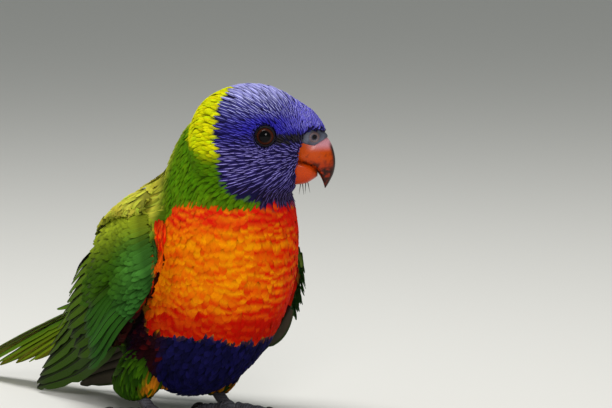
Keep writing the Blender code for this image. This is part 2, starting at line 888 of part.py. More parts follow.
ARC_PLACES = np.linspace(FEATHERS_START, 1, ARC_SPOTS)
variety = np.random.default_rng(11)


def arc_table(side_name):
    """For steps along the sheet, how far each step across lies along the curve."""
    rows = []
    for s in np.linspace(0, 1, ARC_ROWS + 1):
        spots = [sheet_point(side_name, s, t) for t in ARC_PLACES]
        steps = [0.0] + [(b - a).length for a, b in zip(spots, spots[1:])]
        rows.append(np.cumsum(steps) / sum(steps))
    return rows


ARCS = {side_name: arc_table(side_name) for side_name, side in SIDES}


def across_at(side_name, s, share):
    """The sheet's own coordinate at an even share of the way across."""
    place = min(max(s, 0.0), 1.0) * ARC_ROWS
    i = min(int(place), ARC_ROWS - 1)
    arc = ARCS[side_name][i] * (i + 1 - place) + ARCS[side_name][i + 1] * (place - i)
    return float(np.interp(share, arc, ARC_PLACES))


def vane_skin(rings):
    """A closed thin plate over rings of four corners. Both faces are split alike."""
    points = [p for ring in rings for p in ring]
    faces = []
    for i in range(len(rings) - 1):
        a, b, c, d = (4 * i + k for k in range(4))
        e, f, g, h = (4 * i + 4 + k for k in range(4))
        faces += [(a, b, f), (a, f, e)]
        faces += [(d, g, c), (d, h, g)]
        faces += [(b, c, g), (b, g, f)]
        faces += [(d, a, e), (d, e, h)]
    end = 4 * len(rings) - 4
    faces += [(0, 3, 2), (0, 2, 1)]
    faces += [(end, end + 1, end + 2), (end, end + 2, end + 3)]
    return points, faces


def vane_ring(spot, across, normal, half_width, tilt):
    edge = (across + normal * tilt).normalized()
    rise = (normal - across * tilt).normalized()
    over = rise * VANE_THICKNESS / 2
    return [
        spot + edge * half_width + over,
        spot - edge * half_width + over,
        spot - edge * half_width - over,
        spot + edge * half_width - over,
    ]


def wing_vanes(side_name):
    """Every feather of one wing as points and faces, in order from front to tip."""
    side = -1.0 if side_name == "right" else 1.0
    found = []
    for tier, count, root_a, root_b, tip_a, tip_b, low, high, drop, width, tilt in TIERS:
        places = LONG_VANE if tier in ("secondary", "primary") else SHORT_VANE
        for j in range(count):
            share = j / (count - 1)
            root = np.array(root_a) * (1 - share) + np.array(root_b) * share
            tip = np.array(tip_a) * (1 - share) + np.array(tip_b) * share
            tip[0] = min(tip[0] + variety.uniform(-0.008, 0.008), 1.0)
            half_width = width * variety.uniform(0.96, 1.04)
            rings = []
            for place, spread in places:
                height = low * (1 - place) + (high - drop * j) * place
                spots = []
                for shift in (-VANE_STEP, 0.0, VANE_STEP):
                    s, share_across = root + (tip - root) * (place + shift)
                    t = across_at(side_name, s, share_across)
                    spots.append(sheet_point(side_name, s, t))
                    if shift == 0.0:
                        normal = sheet_frame(side_name, s, t)[2]
                across = (spots[2] - spots[0]).cross(normal).normalized() * side
                spot = spots[1] + normal * height
                ring = vane_ring(spot, across, normal, half_width * spread, tilt)
                rings.append(on_floor(ring, WING_CLEARANCE))
            found.append((tier, vane_skin(rings)))
    return found


def feathered(name, core, vanes, finish, cutters):
    """A node made of a core and its feathers, kept clear of what it grows from."""
    made = mesh_object(name, core, BIRD, finish)
    pieces = [mesh_object("feather", vane, BIRD, None, False) for tier, vane in vanes]
    # the exact solver leaves holes where so many thin plates cross the core
    join(made, pieces, "MANIFOLD")
    cut_away(made, cutters, "MANIFOLD")
    made.data.materials.clear()
    made.data.materials.append(finish)
    return made


for side_name, side in SIDES:
    wing = feathered(
        "wing_" + side_name,
        pad(side_name, WING_CORE, 10, 14),
        wing_vanes(side_name),
        WING_GREEN,
        [torso_cutter, rump_cutter, neck_cutter],
    )
    wing_space = mesh_object(
        f"wing_{side_name}_space", pad(side_name, WING_SPACE, 9, 16), CUTTERS
    )
    wing_space.hide_render = True
    wing_space.display_type = "WIRE"
    scapular = mesh_object(
        "scapulars_" + side_name, pad(side_name, SCAPULARS, 10, 12), BIRD, BACK_GREEN
    )
    # the exact solver loses this slab, whose neighbours graze it
    cut_away(
        scapular,
        [
            grown(wing_space, f"wing_{side_name}_clear"),
            torso_cutter,
            rump_cutter,
            neck_cutter,
        ],
        "MANIFOLD",
    )


# The tail: twelve long narrow feathers. The middle two lie on top of one another over the
# rest, which lie in pairs, each lower, further out and shorter. The tip rests on the floor.

TAIL_ROOT = Vector((0, 50, 45.5))
TAIL_TIP = Vector((0, 171, 0.3))
TAIL_ARCH = 2.0  # how far the middle rises over the straight line
TAIL_LAYER = 0.92  # how much lower each next feather lies at its root
TAIL_FAN = 2.4  # the same at its tip
TAIL_SUNK = 3.0  # how far the tail feathers begin before the root
TAIL_CORE = (
    # distance along the tail, half width, top and bottom height
    (-5, 5.5, 2.4, -7.4),
    (6, 7.0, 2.8, -8.2),
    (18, 8.6, 2.0, -7.8),
    (28, 7.8, 0.8, -6.4),
    (35, 5.4, -0.8, -4.4),
)
RECTRICES = (
    # distance from the middle line at the root and towards the tip, layer, length, half width
    (0.2, 0.4, 0, 128.0, 4.6),
    (-0.4, -0.9, 1, 122.0, 4.6),
    (4.4, 4.7, 2.3, 104.0, 4.1),
    (-4.4, -4.7, 2.3, 106.0, 4.1),
    (4.9, 5.8, 3.3, 93.0, 4.1),
    (-4.9, -5.8, 3.3, 91.0, 4.1),
    (5.4, 6.9, 4.3, 80.0, 4.0),
    (-5.4, -6.9, 4.3, 81.5, 4.0),
    (5.8, 7.9, 5.3, 70.0, 3.9),
    (-5.8, -7.9, 5.3, 69.0, 3.9),
    (6.1, 8.8, 6.3, 60.0, 3.8),
    (-6.1, -8.8, 6.3, 61.0, 3.8),
)
TAIL_COVERTS = (
    # distance from the middle line, root height, tip height, length, half width
    (0.0, 1.3, 3.0, 44.0, 4.4),
    (4.6, 0.2, 1.7, 37.0, 4.0),
    (-4.6, 0.2, 1.7, 38.0, 4.0),
    (0.0, -7.2, -9.6, 56.0, 4.8),
    (4.8, -6.9, -8.2, 50.0, 4.2),
    (-4.8, -6.9, -8.2, 48.0, 4.2),
)
TAIL_VANE = ((0.0, 0.75), (0.3, 0.95), (0.6, 1.0), (0.86, 0.62), (1.0, 0.14))
TAIL_LEAN = 0.3  # how steeply the outer edges slope down


def tail_place(distance, sideways, height):
    """A point by distance along the tail, distance from its middle line and height."""
    full = (TAIL_TIP - TAIL_ROOT).length
    along = (TAIL_TIP - TAIL_ROOT) / full
    over = Vector((0, -along.z, along.y))
    share = distance / full
    arch = TAIL_ARCH * 4 * share * (1 - share) if share > 0 else 0.0
    return TAIL_ROOT + along * distance + over * (height + arch) + Vector((sideways, 0, 0))


def tail_vane(inner, outer, low, high, length, half_width):
    rings = []
    side = 0.0 if abs(inner) < 1 else math.copysign(1.0, inner)
    for place, spread in TAIL_VANE:
        distance = -TAIL_SUNK + (length + TAIL_SUNK) * place
        spot = tail_place(distance, inner * (1 - place) + outer * place, 0)
        ahead = tail_place(distance + 1, 0, 0) - tail_place(distance - 1, 0, 0)
        normal = Vector((1, 0, 0)).cross(ahead).normalized()
        spot += normal * (low * (1 - place) + high * place)
        ring = vane_ring(
            spot, Vector((1, 0, 0)), normal, half_width * spread, -TAIL_LEAN * side
        )
        rings.append(on_floor(ring))
    return vane_skin(rings)


def tail_vanes():
    found = []
    for inner, outer, layer, length, half_width in RECTRICES:
        low, high = -TAIL_LAYER * layer, -TAIL_FAN * layer
        found.append(("rectrix", tail_vane(inner, outer, low, high, length, half_width)))
    for sideways, low, high, length, half_width in TAIL_COVERTS:
        found.append(
            ("tail covert", tail_vane(sideways, sideways, low, high, length, half_width))
        )
    return found


def tail_core():
    rings = []
    for distance, half_width, top, bottom in through(TAIL_CORE, 7):
        middle = tail_place(distance, 0, (top + bottom) / 2)
        ahead = tail_place(distance + 1, 0, 0) - tail_place(distance - 1, 0, 0)
        normal = Vector((1, 0, 0)).cross(ahead).normalized()
        half = (top - bottom) / 2
        rings.append(
            oval(middle, Vector((1, 0, 0)), normal, half_width, half, half, 12, PAD_FULLNESS)
        )
    return loft(rings)


tail = feathered("tail", tail_core(), tail_vanes(), TAIL_GREEN, [rump_cutter])


# The origin: every piece moves together so that it sits at the bottom centre of the box

def settle():
    graph = bpy.context.evaluated_depsgraph_get()
    graph.update()
    spots = []
    for thing in BIRD.objects:
        spots.extend(np.array(v.co) for v in thing.data.vertices)
    spots = np.array(spots)
    low = spots.min(0)
    high = spots.max(0)
    shift = Vector((-(low[0] + high[0]) / 2, -(low[1] + high[1]) / 2, -low[2]))
    for thing in list(BIRD.objects) + list(CUTTERS.objects):
        thing.location = shift
    print("origin moved by", [round(x / MM, 2) for x in shift])


settle()
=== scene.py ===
"""The looks of the rainbow lorikeet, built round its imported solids.

Lengths are in millimetres, on the bird standing with its feet about X = 0, Y = 0 and facing
-Y, as in the part's source. They are turned to the frame's metres where a mesh is made.
"""

import math

import bmesh
import bpy
import numpy as np
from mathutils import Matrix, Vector
from mathutils.bvhtree import BVHTree


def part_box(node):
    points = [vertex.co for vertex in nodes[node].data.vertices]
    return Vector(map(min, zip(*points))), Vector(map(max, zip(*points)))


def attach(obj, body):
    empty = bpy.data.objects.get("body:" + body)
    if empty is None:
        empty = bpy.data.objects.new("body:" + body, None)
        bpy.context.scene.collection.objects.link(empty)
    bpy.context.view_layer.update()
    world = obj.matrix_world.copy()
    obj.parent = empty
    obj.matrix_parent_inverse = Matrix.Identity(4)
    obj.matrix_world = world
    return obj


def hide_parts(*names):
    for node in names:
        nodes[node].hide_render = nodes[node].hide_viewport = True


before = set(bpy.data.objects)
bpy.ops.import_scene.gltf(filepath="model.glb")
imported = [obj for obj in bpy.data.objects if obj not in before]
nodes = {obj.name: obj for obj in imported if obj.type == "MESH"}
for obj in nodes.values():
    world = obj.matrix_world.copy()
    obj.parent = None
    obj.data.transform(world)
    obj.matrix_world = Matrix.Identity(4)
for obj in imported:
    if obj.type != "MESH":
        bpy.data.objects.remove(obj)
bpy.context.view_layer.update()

# The skin: the bird's own flesh under its feathers, one closed form without a seam. It is the
# solids of head, neck, trunk, thighs and shoulders, with the flesh of the wings and of the
# tail's root grown on, drawn in by the depth of the coat.

MM = 0.001
feet = [(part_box("foot_" + side)[0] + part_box("foot_" + side)[1]) / 2 for side in ("right", "left")]
STANDING = np.array(((feet[0].x + feet[1].x) / 2, (feet[0].y + feet[1].y) / 2, 0.0))
SIDES = (("right", -1.0), ("left", 1.0))
FLESH = (
    "head", "neck", "torso", "rump", "scapulars_right", "scapulars_left", "thigh_right",
    "thigh_left",
)
SWELL = 0.35  # closes the gaps between the solids
GRAIN = 1.0  # the skin's own mesh, its width of face

HEAD_CENTRE = np.array((2.0, -46.0, 116.0))
HEAD_TURN = math.radians(49)
AHEAD = np.array((math.sin(HEAD_TURN), -math.cos(HEAD_TURN), 0.0))
LEFTWARD = np.array((math.cos(HEAD_TURN), math.sin(HEAD_TURN), 0.0))
UP = np.array((0.0, 0.0, 1.0))


def head_place(ahead, left, up):
    """Points given in the head's own directions."""
    ahead, left, up = np.broadcast_arrays(ahead, left, up)
    return (
        HEAD_CENTRE
        + ahead[..., None] * AHEAD
        + left[..., None] * LEFTWARD
        + up[..., None] * UP
    )


def head_reading(points):
    """How far points are ahead, to the left and above the head's centre."""
    offset = points - HEAD_CENTRE
    return offset @ AHEAD, offset @ LEFTWARD, offset @ UP


def unit(vectors):
    """Vectors made one long."""
    return vectors / np.maximum(np.linalg.norm(vectors, axis=-1, keepdims=True), 1e-9)


def laid_on(ways, outs):
    """Directions turned so that they lie flat on a surface."""
    return unit(ways - outs * (ways * outs).sum(-1, keepdims=True))


def between(first, last, share):
    """Places on the straight way from the first to the last."""
    return np.array(first) * (1 - share) + np.array(last) * share


def through(stations, places):
    """Rows read at shares 0 to 1 of a smooth curve that passes through every station."""
    rows = np.array(stations, float)
    last = len(rows) - 1
    spot = np.clip(np.asarray(places, float), 0, 1) * last
    i = np.minimum(spot.astype(int), last - 1)
    t = (spot - i)[..., None]
    before, here, after, beyond = (rows[np.clip(i + k, 0, last)] for k in (-1, 0, 1, 2))
    leave = (after - before) / 2
    arrive = (beyond - here) / 2
    return (
        (2 * t**3 - 3 * t**2 + 1) * here
        + (t**3 - 2 * t**2 + t) * leave
        + (3 * t**2 - 2 * t**3) * after
        + (t**3 - t**2) * arrive
    )


def soft(value, start, end):
    """Rises smoothly from 0 to 1 as the value goes from start to end."""
    t = np.clip((value - start) / (end - start), 0, 1)
    return t * t * (3 - 2 * t)


def loft(rings):
    """Points and faces of a closed form over rings of equally many points."""
    rings = np.asarray(rings, float)
    count, sides = rings.shape[:2]
    points = np.vstack([rings.reshape(-1, 3), rings[0].mean(0), rings[-1].mean(0)])
    i, k = np.meshgrid(np.arange(count - 1), np.arange(sides), indexing="ij")
    a = (i * sides + k).ravel()
    b = (i * sides + (k + 1) % sides).ravel()
    faces = np.stack([a, b, b + sides, a + sides], 1).tolist()
    low, high = count * sides, count * sides + 1
    for k in range(sides):
        after = (k + 1) % sides
        faces.append([after, k, low])
        faces.append([(count - 1) * sides + k, (count - 1) * sides + after, high])
    return points, faces


def linked(name, data):
    """A new object in the scene."""
    made = bpy.data.objects.new(name, data)
    bpy.context.scene.collection.objects.link(made)
    return made


def shaped(name, points, faces, finish=None):
    """A smooth mesh object from points in millimetres, with its faces turned out."""
    mesh = bpy.data.meshes.new(name)
    mesh.from_pydata((np.asarray(points) * MM + STANDING).tolist(), [], faces)
    body = bmesh.new()
    body.from_mesh(mesh)
    bmesh.ops.recalc_face_normals(body, faces=body.faces)
    if body.calc_volume(signed=True) < 0:
        bmesh.ops.reverse_faces(body, faces=body.faces)
    body.to_mesh(mesh)
    body.free()
    mesh.shade_smooth()
    if finish:
        mesh.materials.append(finish)
    return linked(name, mesh)


def read_points(mesh):
    """A mesh's points in millimetres, on the standing bird."""
    flat = np.empty(len(mesh.vertices) * 3)
    mesh.vertices.foreach_get("co", flat)
    return (flat.reshape(-1, 3) - STANDING) / MM


# A row of the wing's sheet is five points across it, from the middle of the back over the
# shoulder and side to the leading edge, each (outward, back, up)
SHEET = {
    "right": (
        ((13, 3, 99), (24, -6, 91.5), (33, -19, 81.5), (36.5, -28.5, 69), (36, -26.5, 57)),
        ((10, 9, 92), (20, 4, 89), (31.5, -1, 79.5), (38.5, -11, 62), (38.5, -17, 45)),
        ((8, 16, 86.5), (18, 12, 86), (28, 12, 77), (37.5, 6, 54), (37.5, -3, 35)),
        ((6, 32, 74), (15, 31, 75.5), (24, 30, 70), (33.5, 26, 46), (34, 13, 22)),
        ((5, 47, 61), (12, 48, 62.5), (20.5, 48, 59), (28, 46, 35), (28, 35, 14.5)),
        ((5, 60, 52), (11, 64, 50), (15, 64, 45), (21, 65, 25), (21, 57, 9)),
        ((6, 80, 31), (11.5, 84, 19), (12.5, 92, 11.5), (13, 96.5, 5), (13.5, 95, 1.5)),
    ),
    "left": (
        ((13, 3, 99), (24, -6, 91.5), (33, -20, 80.5), (37.5, -29, 67), (38, -28, 54)),
        ((10, 9, 92), (20, 4, 89), (32, -3, 78.5), (39.5, -16, 59), (40, -21, 41)),
        ((8, 16, 86.5), (18, 12, 86), (29, 10, 76), (38.5, 1, 50), (39.5, -11, 29)),
        ((6, 32, 74), (15, 31, 75.5), (25.5, 29, 69), (35.5, 22, 43.5), (34.5, 6, 21)),
        ((5, 47, 61), (12, 48, 62.5), (21.5, 47, 58), (29, 43, 33), (29, 29, 14)),
        ((5, 60, 52), (11, 64, 50), (16, 63, 44), (22, 64, 24), (22, 55, 8)),
        ((6, 80, 31), (11.5, 84, 19), (13, 91, 11.5), (13.5, 95, 5), (14, 94, 1.5)),
    ),
}
# The wing's flesh at shares of the way along it: first and last share across, top and bottom
WING_FLESH = (
    (0.0, 0.47, 0.93, -0.9, -3.0),
    (0.04, 0.41, 0.99, -0.8, -7.0),
    (0.12, 0.33, 0.99, -1.0, -9.5),
    (0.20, 0.29, 0.99, -1.9, -9.5),
    (0.33, 0.28, 0.99, -3.6, -9.3),
    (0.45, 0.32, 0.96, -5.6, -9.2),
    (0.55, 0.38, 0.91, -7.0, -9.2),
    (0.62, 0.45, 0.85, -8.0, -9.1),
)
FLESH_RINGS = 40  # rings of the wing's flesh
TAIL_ROOT = np.array((0.0, 50.0, 45.5))
TAIL_TIP = np.array((0.0, 171.0, 0.3))
TAIL_ARCH = 2.0  # how far the middle rises over the straight line
TAIL_FLESH = (
    # distance along the tail, half width, top and bottom height
    (-5, 5.2, 1.2, -6.4),
    (6, 6.6, 1.6, -7.2),
    (18, 8.0, 1.0, -6.8),
    (28, 7.2, 0.0, -5.6),
    (35, 5.0, -1.2, -4.0),
)


def sheet_spots(side_name, s, t):
    """Points of the wing's sheet at shares along and across it."""
    spots = np.einsum(
        "...i,...j,ijk->...k",
        through(np.eye(7), s),
        through(np.eye(5), t),
        np.array(SHEET[side_name], float),
    )
    return spots * (dict(SIDES)[side_name], 1, 1)


def sheet_outward(side_name, s, t):
    """The directions out of the sheet, away from the body."""
    step = 0.01
    s = np.clip(s, step, 1 - step)
    t = np.clip(t, step, 1 - step)
    along = sheet_spots(side_name, s + step, t) - sheet_spots(side_name, s - step, t)
    across = sheet_spots(side_name, s, t + step) - sheet_spots(side_name, s, t - step)
    return unit(np.cross(along, across)) * -dict(SIDES)[side_name]


def rounded_turns(count, fullness):
    """Places round a ring: an ellipse, or squarer where the fullness is over 2."""
    turn = 2 * math.pi * np.arange(count) / count
    across = np.sign(np.cos(turn)) * abs(np.cos(turn)) ** (2 / fullness)
    rise = np.sign(np.sin(turn)) * abs(np.sin(turn)) ** (2 / fullness)
    return across, rise


def wing_flesh(side_name):
    """The closed form of a wing's flesh, laid under its sheet."""
    across, rise = rounded_turns(28, 2.6)
    rings = []
    for s, first, last, top, bottom in through(WING_FLESH, np.linspace(0, 1, FLESH_RINGS)):
        t = (first + last) / 2 + (last - first) / 2 * across
        height = (top + bottom) / 2 + (top - bottom) / 2 * rise
        s = np.full_like(t, s)
        rings.append(
            sheet_spots(side_name, s, t) + sheet_outward(side_name, s, t) * height[:, None]
        )
    return loft(rings)


def tail_place(distance, sideways, height):
    """Points by distance along the tail, distance from its middle line and height."""
    distance, sideways, height = np.broadcast_arrays(distance, sideways, height)
    full = np.linalg.norm(TAIL_TIP - TAIL_ROOT)
    along = (TAIL_TIP - TAIL_ROOT) / full
    over = np.array((0, -along[2], along[1]))
    share = np.clip(distance / full, 0, None)
    arch = TAIL_ARCH * 4 * share * (1 - share)
    return (
        TAIL_ROOT
        + distance[..., None] * along
        + (height + arch)[..., None] * over
        + sideways[..., None] * np.array((1.0, 0, 0))
    )


def tail_flesh():
    """The closed form of the flesh at the tail's root."""
    across, rise = rounded_turns(20, 2.6)
    rings = []
    for distance, half_width, top, bottom in through(TAIL_FLESH, np.linspace(0, 1, 16)):
        height = (top + bottom) / 2 + (top - bottom) / 2 * rise
        rings.append(tail_place(distance, half_width * across, height))
    return loft(rings)


def joined(name, forms, whole=None):
    """One mesh of several forms, each its points and faces, added to what is in it so far."""
    whole = bmesh.new() if whole is None else whole
    for points, faces in forms:
        part = shaped("part", points, faces)
        whole.from_mesh(part.data)
        bpy.data.objects.remove(part)
    mesh = bpy.data.meshes.new(name)
    whole.to_mesh(mesh)
    whole.free()
    return mesh


def grown_together(thing, grain, rounds):
    """Makes a piece of many forms one closed skin with faces of that width, and eases it.
    Gives its mesh, its points in millimetres and its outward directions."""
    closing = thing.modifiers.new("close the gaps", "REMESH")
    closing.mode = "VOXEL"
    closing.voxel_size = grain * MM
    easing = thing.modifiers.new("ease", "SMOOTH")
    easing.factor = 0.5
    easing.iterations = rounds
    graph = bpy.context.evaluated_depsgraph_get()
    graph.update()
    mesh = bpy.data.meshes.new_from_object(thing.evaluated_get(graph))
    thing.modifiers.clear()
    thing.data = mesh
    mesh.shade_smooth()
    outs = np.empty(len(mesh.vertices) * 3)
    mesh.vertex_normals.foreach_get("vector", outs)
    return mesh, read_points(mesh), outs.reshape(-1, 3)


def whole_flesh():
    """The swollen solids and the wings' and tail's flesh, in one mesh."""
    whole = bmesh.new()
    for name in FLESH:
        part = bmesh.new()
        part.from_mesh(nodes[name].data)
        bmesh.ops.remove_doubles(part, verts=part.verts, dist=1e-6)
        part.normal_update()
        for vertex in part.verts:
            vertex.co += vertex.normal * SWELL * MM
        swollen = bpy.data.meshes.new(name + "_flesh")
        part.to_mesh(swollen)
        part.free()
        whole.from_mesh(swollen)
        bpy.data.meshes.remove(swollen)
    forms = [wing_flesh(side_name) for side_name, side in SIDES] + [tail_flesh()]
    return joined("flesh", forms, whole)


EYE_AHEAD = 2.6  # the middle of an eyeball, from the head's centre
EYE_UP = -0.8
EYE_DEPTH = 10.4  # and how far it is to the side
COAT_DEPTH = 1.5  # how much of the solids' depth is coat, and not flesh
FACE_DEPTH = 0.6  # the coat's depth beside the eyes and the bill
THIN_SHARE = 0.38  # the most of the flesh's thickness that the coat's depth takes from a side
FLESH_REACH = 8.0  # flesh thicker than this takes the coat's whole depth
BILL_ROOT = 19.0  # how far ahead of the head's centre the middle of the bill's root is
BILL_HEIGHTS = (-14, -7, 0)  # places down the bill's root, over the head's centre
EASING_ROUNDS = 6
EVENING_ROUNDS = 5


def eye_spot(side):
    """The middle of an eyeball."""
    return head_place(EYE_AHEAD, side * EYE_DEPTH, EYE_UP)


skin = linked("skin", whole_flesh())
eased, skin_points, skin_outs = grown_together(skin, GRAIN, EASING_ROUNDS)
eased.name = "skin"
near_face = np.minimum.reduce(
    [np.linalg.norm(skin_points - eye_spot(side), axis=1) for name, side in SIDES]
    + [np.linalg.norm(skin_points - head_place(BILL_ROOT, 0, up), axis=1) for up in BILL_HEIGHTS]
)
depth = FACE_DEPTH + (COAT_DEPTH - FACE_DEPTH) * soft(near_face, 6.5, 16) + SWELL
skin_faces = np.array([list(face.vertices) for face in eased.polygons])
flesh_tree = BVHTree.FromPolygons(skin_points.tolist(), skin_faces.tolist())
inside = zip((skin_points - skin_outs * 0.1).tolist(), (-skin_outs).tolist())
met = [flesh_tree.ray_cast(Vector(spot), Vector(way), FLESH_REACH)[3] for spot, way in inside]
thickness = np.array([FLESH_REACH if found is None else found for found in met])
depth = np.minimum(depth, THIN_SHARE * thickness)
for k in range(EVENING_ROUNDS):
    at_faces = depth[skin_faces].mean(1)
    total, faces_there = np.zeros((2, len(depth)))
    np.add.at(total, skin_faces.ravel(), np.repeat(at_faces, 4))
    np.add.at(faces_there, skin_faces.ravel(), 1)
    depth = np.minimum(total / np.maximum(faces_there, 1), THIN_SHARE * thickness)
skin_points = skin_points - skin_outs * depth[:, None]
eased.vertices.foreach_set("co", (skin_points * MM + STANDING).ravel())
eased.update()

skin_tree = BVHTree.FromPolygons(skin_points.tolist(), skin_faces.tolist())
face_outs = unit(skin_outs[skin_faces].mean(1))
face_middles = skin_points[skin_faces].mean(1)
face_areas = np.empty(len(skin_faces))
eased.polygons.foreach_get("area", face_areas)


def on_skin(points):
    """The nearest places on the skin, and its outward directions there."""
    found = [skin_tree.find_nearest(p) for p in points.reshape(-1, 3).tolist()]
    places = np.array([hit[0] for hit in found]).reshape(points.shape)
    outs = face_outs[[hit[2] for hit in found]].reshape(points.shape)
    return places, outs


# The plumage's markings, one formula of place for skin and coat: violet-blue hood, yellow-green
# collar, orange breast with red edges, navy belly, maroon flanks, green elsewhere. The borders
# run as on the bird's right side, which the left side mirrors.


def linear(code):
    """An sRGB hex colour as linear light."""
    share = np.array([int(code[k : k + 2], 16) for k in (1, 3, 5)]) / 255
    return np.where(share <= 0.04045, share / 12.92, ((share + 0.055) / 1.055) ** 2.4)


def blend(under, over, share):
    """One colour laid over another by a share at each point. Each is linear light, or an sRGB
    hex colour to be turned into it."""
    under, over = (linear(part) if isinstance(part, str) else part for part in (under, over))
    return under + (over - under) * np.asarray(share)[..., None]


def layered(ground, *layers):
    """A colour with others laid over it in turn, each a colour and its share."""
    for colour, share in layers:
        ground = blend(ground, colour, share)
    return ground


def ripple(points, size, seed=0.0):
    """A soft, seeded unevenness from -1 to 1 with waves of about that size."""
    p = points * (2 * math.pi / size) + seed
    return (
        np.sin(p[..., 0] + 1.3 * np.sin(0.7 * p[..., 1] + 0.5))
        + np.sin(p[..., 1] * 1.1 + 1.7 * np.sin(0.6 * p[..., 2]) + 2.0)
        + np.sin(p[..., 2] * 0.9 + 1.1 * np.sin(0.8 * p[..., 0]) + 4.0)
    ) / 3


def read_off(table, value):
    """Values read from a table of pairs, straight between them."""
    return np.interp(value, *np.array(table, float).T)


def past(value, border, half_width):
    """How much of a value is past a border whose soft edge is so wide to each side."""
    return soft(value, border - half_width, border + half_width)


HOOD_BORDER = (
    # height over the head's centre, and how far ahead the hood's rear border lies there
    (-34, 14), (-30, 4), (-28, -2), (-26, -8), (-23, -13.5), (-20, -16.5), (-15, -17.8),
    (-3, -19), (3, -19.3), (12, -17.8), (17, -13.5), (22, -9),
)
COLLAR_WIDTH = (
    # height over the head's centre, and how wide the collar is there
    (-26, 2.5), (-18, 3), (-12, 5.5), (-4, 11.5), (8, 13), (20, 10),
)
BREAST_BACK = (
    # height over the floor, and how far back the breast's colour reaches there
    (20, -2), (34, -6), (45, -4), (60, -9), (73, -16), (80, -21.5), (84.5, -26), (89, -32), (95, -40),
)
BREAST_TOP = 86.0  # height over the floor where the breast meets the hood
BREAST_LOW = 32.5  # and where it meets the belly, in the middle
TOP_EDGE = 0.4  # half the width of the border between hood and breast
BORDER_EDGE = 0.8  # the same for the other borders


def markings(points):
    """How much of each marking there is at points: from 0 to 1 for hood, collar, breast,
    belly and flank."""
    ahead, _, up = head_reading(points)
    rise = points[..., 2]
    beside = abs(points[..., 0])
    back = points[..., 1]
    past_hood = ahead - 1.6 - read_off(HOOD_BORDER, up + 0.8 * ripple(points, 9))
    over_breast = past(rise, BREAST_TOP + 0.5 * ripple(points, 11, 3.0), TOP_EDGE)
    hood = soft(past_hood, -0.5, 0.5) * over_breast
    collar = soft(past_hood + read_off(COLLAR_WIDTH, up) + 1.5 * ripple(points, 8, 1.0), -1.5, 1.5)
    collar = collar * (1 - hood) * soft(up + 0.8 * ripple(points, 6, 4.0), -13, -5)
    breast_back = read_off(BREAST_BACK, rise) + 1.2 * ripple(points, 10, 5.0)
    behind_breast = past(back, breast_back, BORDER_EDGE)
    breast_low = BREAST_LOW + 0.16 * np.maximum(beside - 6, 0) + 1.6 * ripple(points, 9, 2.0)
    breast = past(rise, breast_low, BORDER_EDGE) * (1 - over_breast) * (1 - behind_breast)
    over_flank = past(rise, breast_low + 13 * behind_breast, BORDER_EDGE)
    belly = (1 - over_flank) * (1 - soft(back + 0.5 * rise, 27, 35))
    flank = soft(beside + 0.35 * back, 15.5, 21) * belly * soft(back, -26, -14)
    return hood, collar, breast, belly, flank


def plumage(points):
    """The ground colour of the plumage at points."""
    hood, collar, breast, belly, flank = markings(points)
    back, rise = points[..., 1], points[..., 2]
    # The mantle's pale yellow-green is partly the bird's own and partly a painted highlight of the
    # light falling on the upper back.
    mantle = soft(rise, 62, 84) * soft(back, -20, -4)
    nape = soft(rise, 84, 96) * (1 - soft(back, -30, -12))
    vent = soft(back - rise, 0, 22) * (1 - soft(rise, 22, 34))
    return layered(
        blend("#386404", "#567608", 0.5 + 0.5 * ripple(points, 14, 7.0)),
        ("#C2BE40", 0.9 * mantle), ("#4E7E04", 0.6 * nape), ("#9A9A14", 0.5 * vent),
        ("#0A0928", belly), ("#1C0306", flank), ("#E88C04", breast), ("#C6C804", collar),
        ("#28225E", hood),
    )


def paint(mesh, name, colours):
    """Stores a colour for each point of a mesh."""
    layer = mesh.attributes.new(name, "FLOAT_COLOR", "POINT")
    flat = np.ones((len(mesh.vertices), 4), np.float32)
    flat[:, :3] = colours
    layer.data.foreach_set("color", flat.ravel())


def add(tree, kind, inputs=None, **settings):
    """Adds a node. Its inputs, by name or number, are values, other nodes' outputs, or nodes
    that give their first output."""
    made = tree.nodes.new("ShaderNode" + kind)
    for name, value in settings.items():
        setattr(made, name, value)
    for name, value in (inputs or {}).items():
        value = value.outputs[0] if isinstance(value, bpy.types.Node) else value
        if isinstance(value, bpy.types.NodeSocket):
            tree.links.new(value, made.inputs[name])
        else:
            made.inputs[name].default_value = value
    return made


def finish(name, **surface):
    """A new material with its surface shader's own values set, and the tree to build on."""
    made = bpy.data.materials.new(name)
    made.use_nodes = True
    tree = made.node_tree
    shader = tree.nodes["Principled BSDF"]
    for socket, value in surface.items():
        shader.inputs[socket.replace("_", " ")].default_value = value
    return made, tree, shader


def surface(tree, shader, shade, relief=None, depth=0.0, strength=1.0, colour=None):
    """Gives a material the colour that its mesh keeps as tint, or another, times a shade, and
    a relief so many millimetres deep."""
    colour = colour or add(tree, "Attribute", attribute_name="tint")
    shaded = add(tree, "VectorMath", {0: colour, "Scale": shade}, operation="SCALE")
    tree.links.new(shaded.outputs[0], shader.inputs["Base Color"])
    if relief:
        bump = {"Height": relief, "Distance": depth * MM, "Strength": strength}
        tree.links.new(add(tree, "Bump", bump).outputs[0], shader.inputs["Normal"])


def bird_skin():
    """Bare skin with short down on it, seen only in the gaps between feathers: it takes the
    plumage's colour, far darker as a painted shade of the gaps, and has no shine. Its pores are
    drawn half a millimetre wide, coarser than real, so that they show."""
    made, tree, shader = finish("bird skin and down", Roughness=0.9, Specular_IOR_Level=0.1)
    place = add(tree, "TexCoord").outputs["Object"]
    pores = add(tree, "TexNoise", {"Vector": place, "Scale": 1 / (0.5 * MM), "Detail": 3.0})
    shade = add(tree, "MapRange", {"Value": pores, "To Min": 0.5, "To Max": 0.85})
    surface(tree, shader, shade, pores, 0.3)
    return made


eased.materials.append(bird_skin())
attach(skin, "root")
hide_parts(*FLESH)


# The coat: small feathers in overlapping rows, each a thin curved vane of keratin barbs on a
# shaft, rooted in the skin and lying along the body from the bill to the tail.

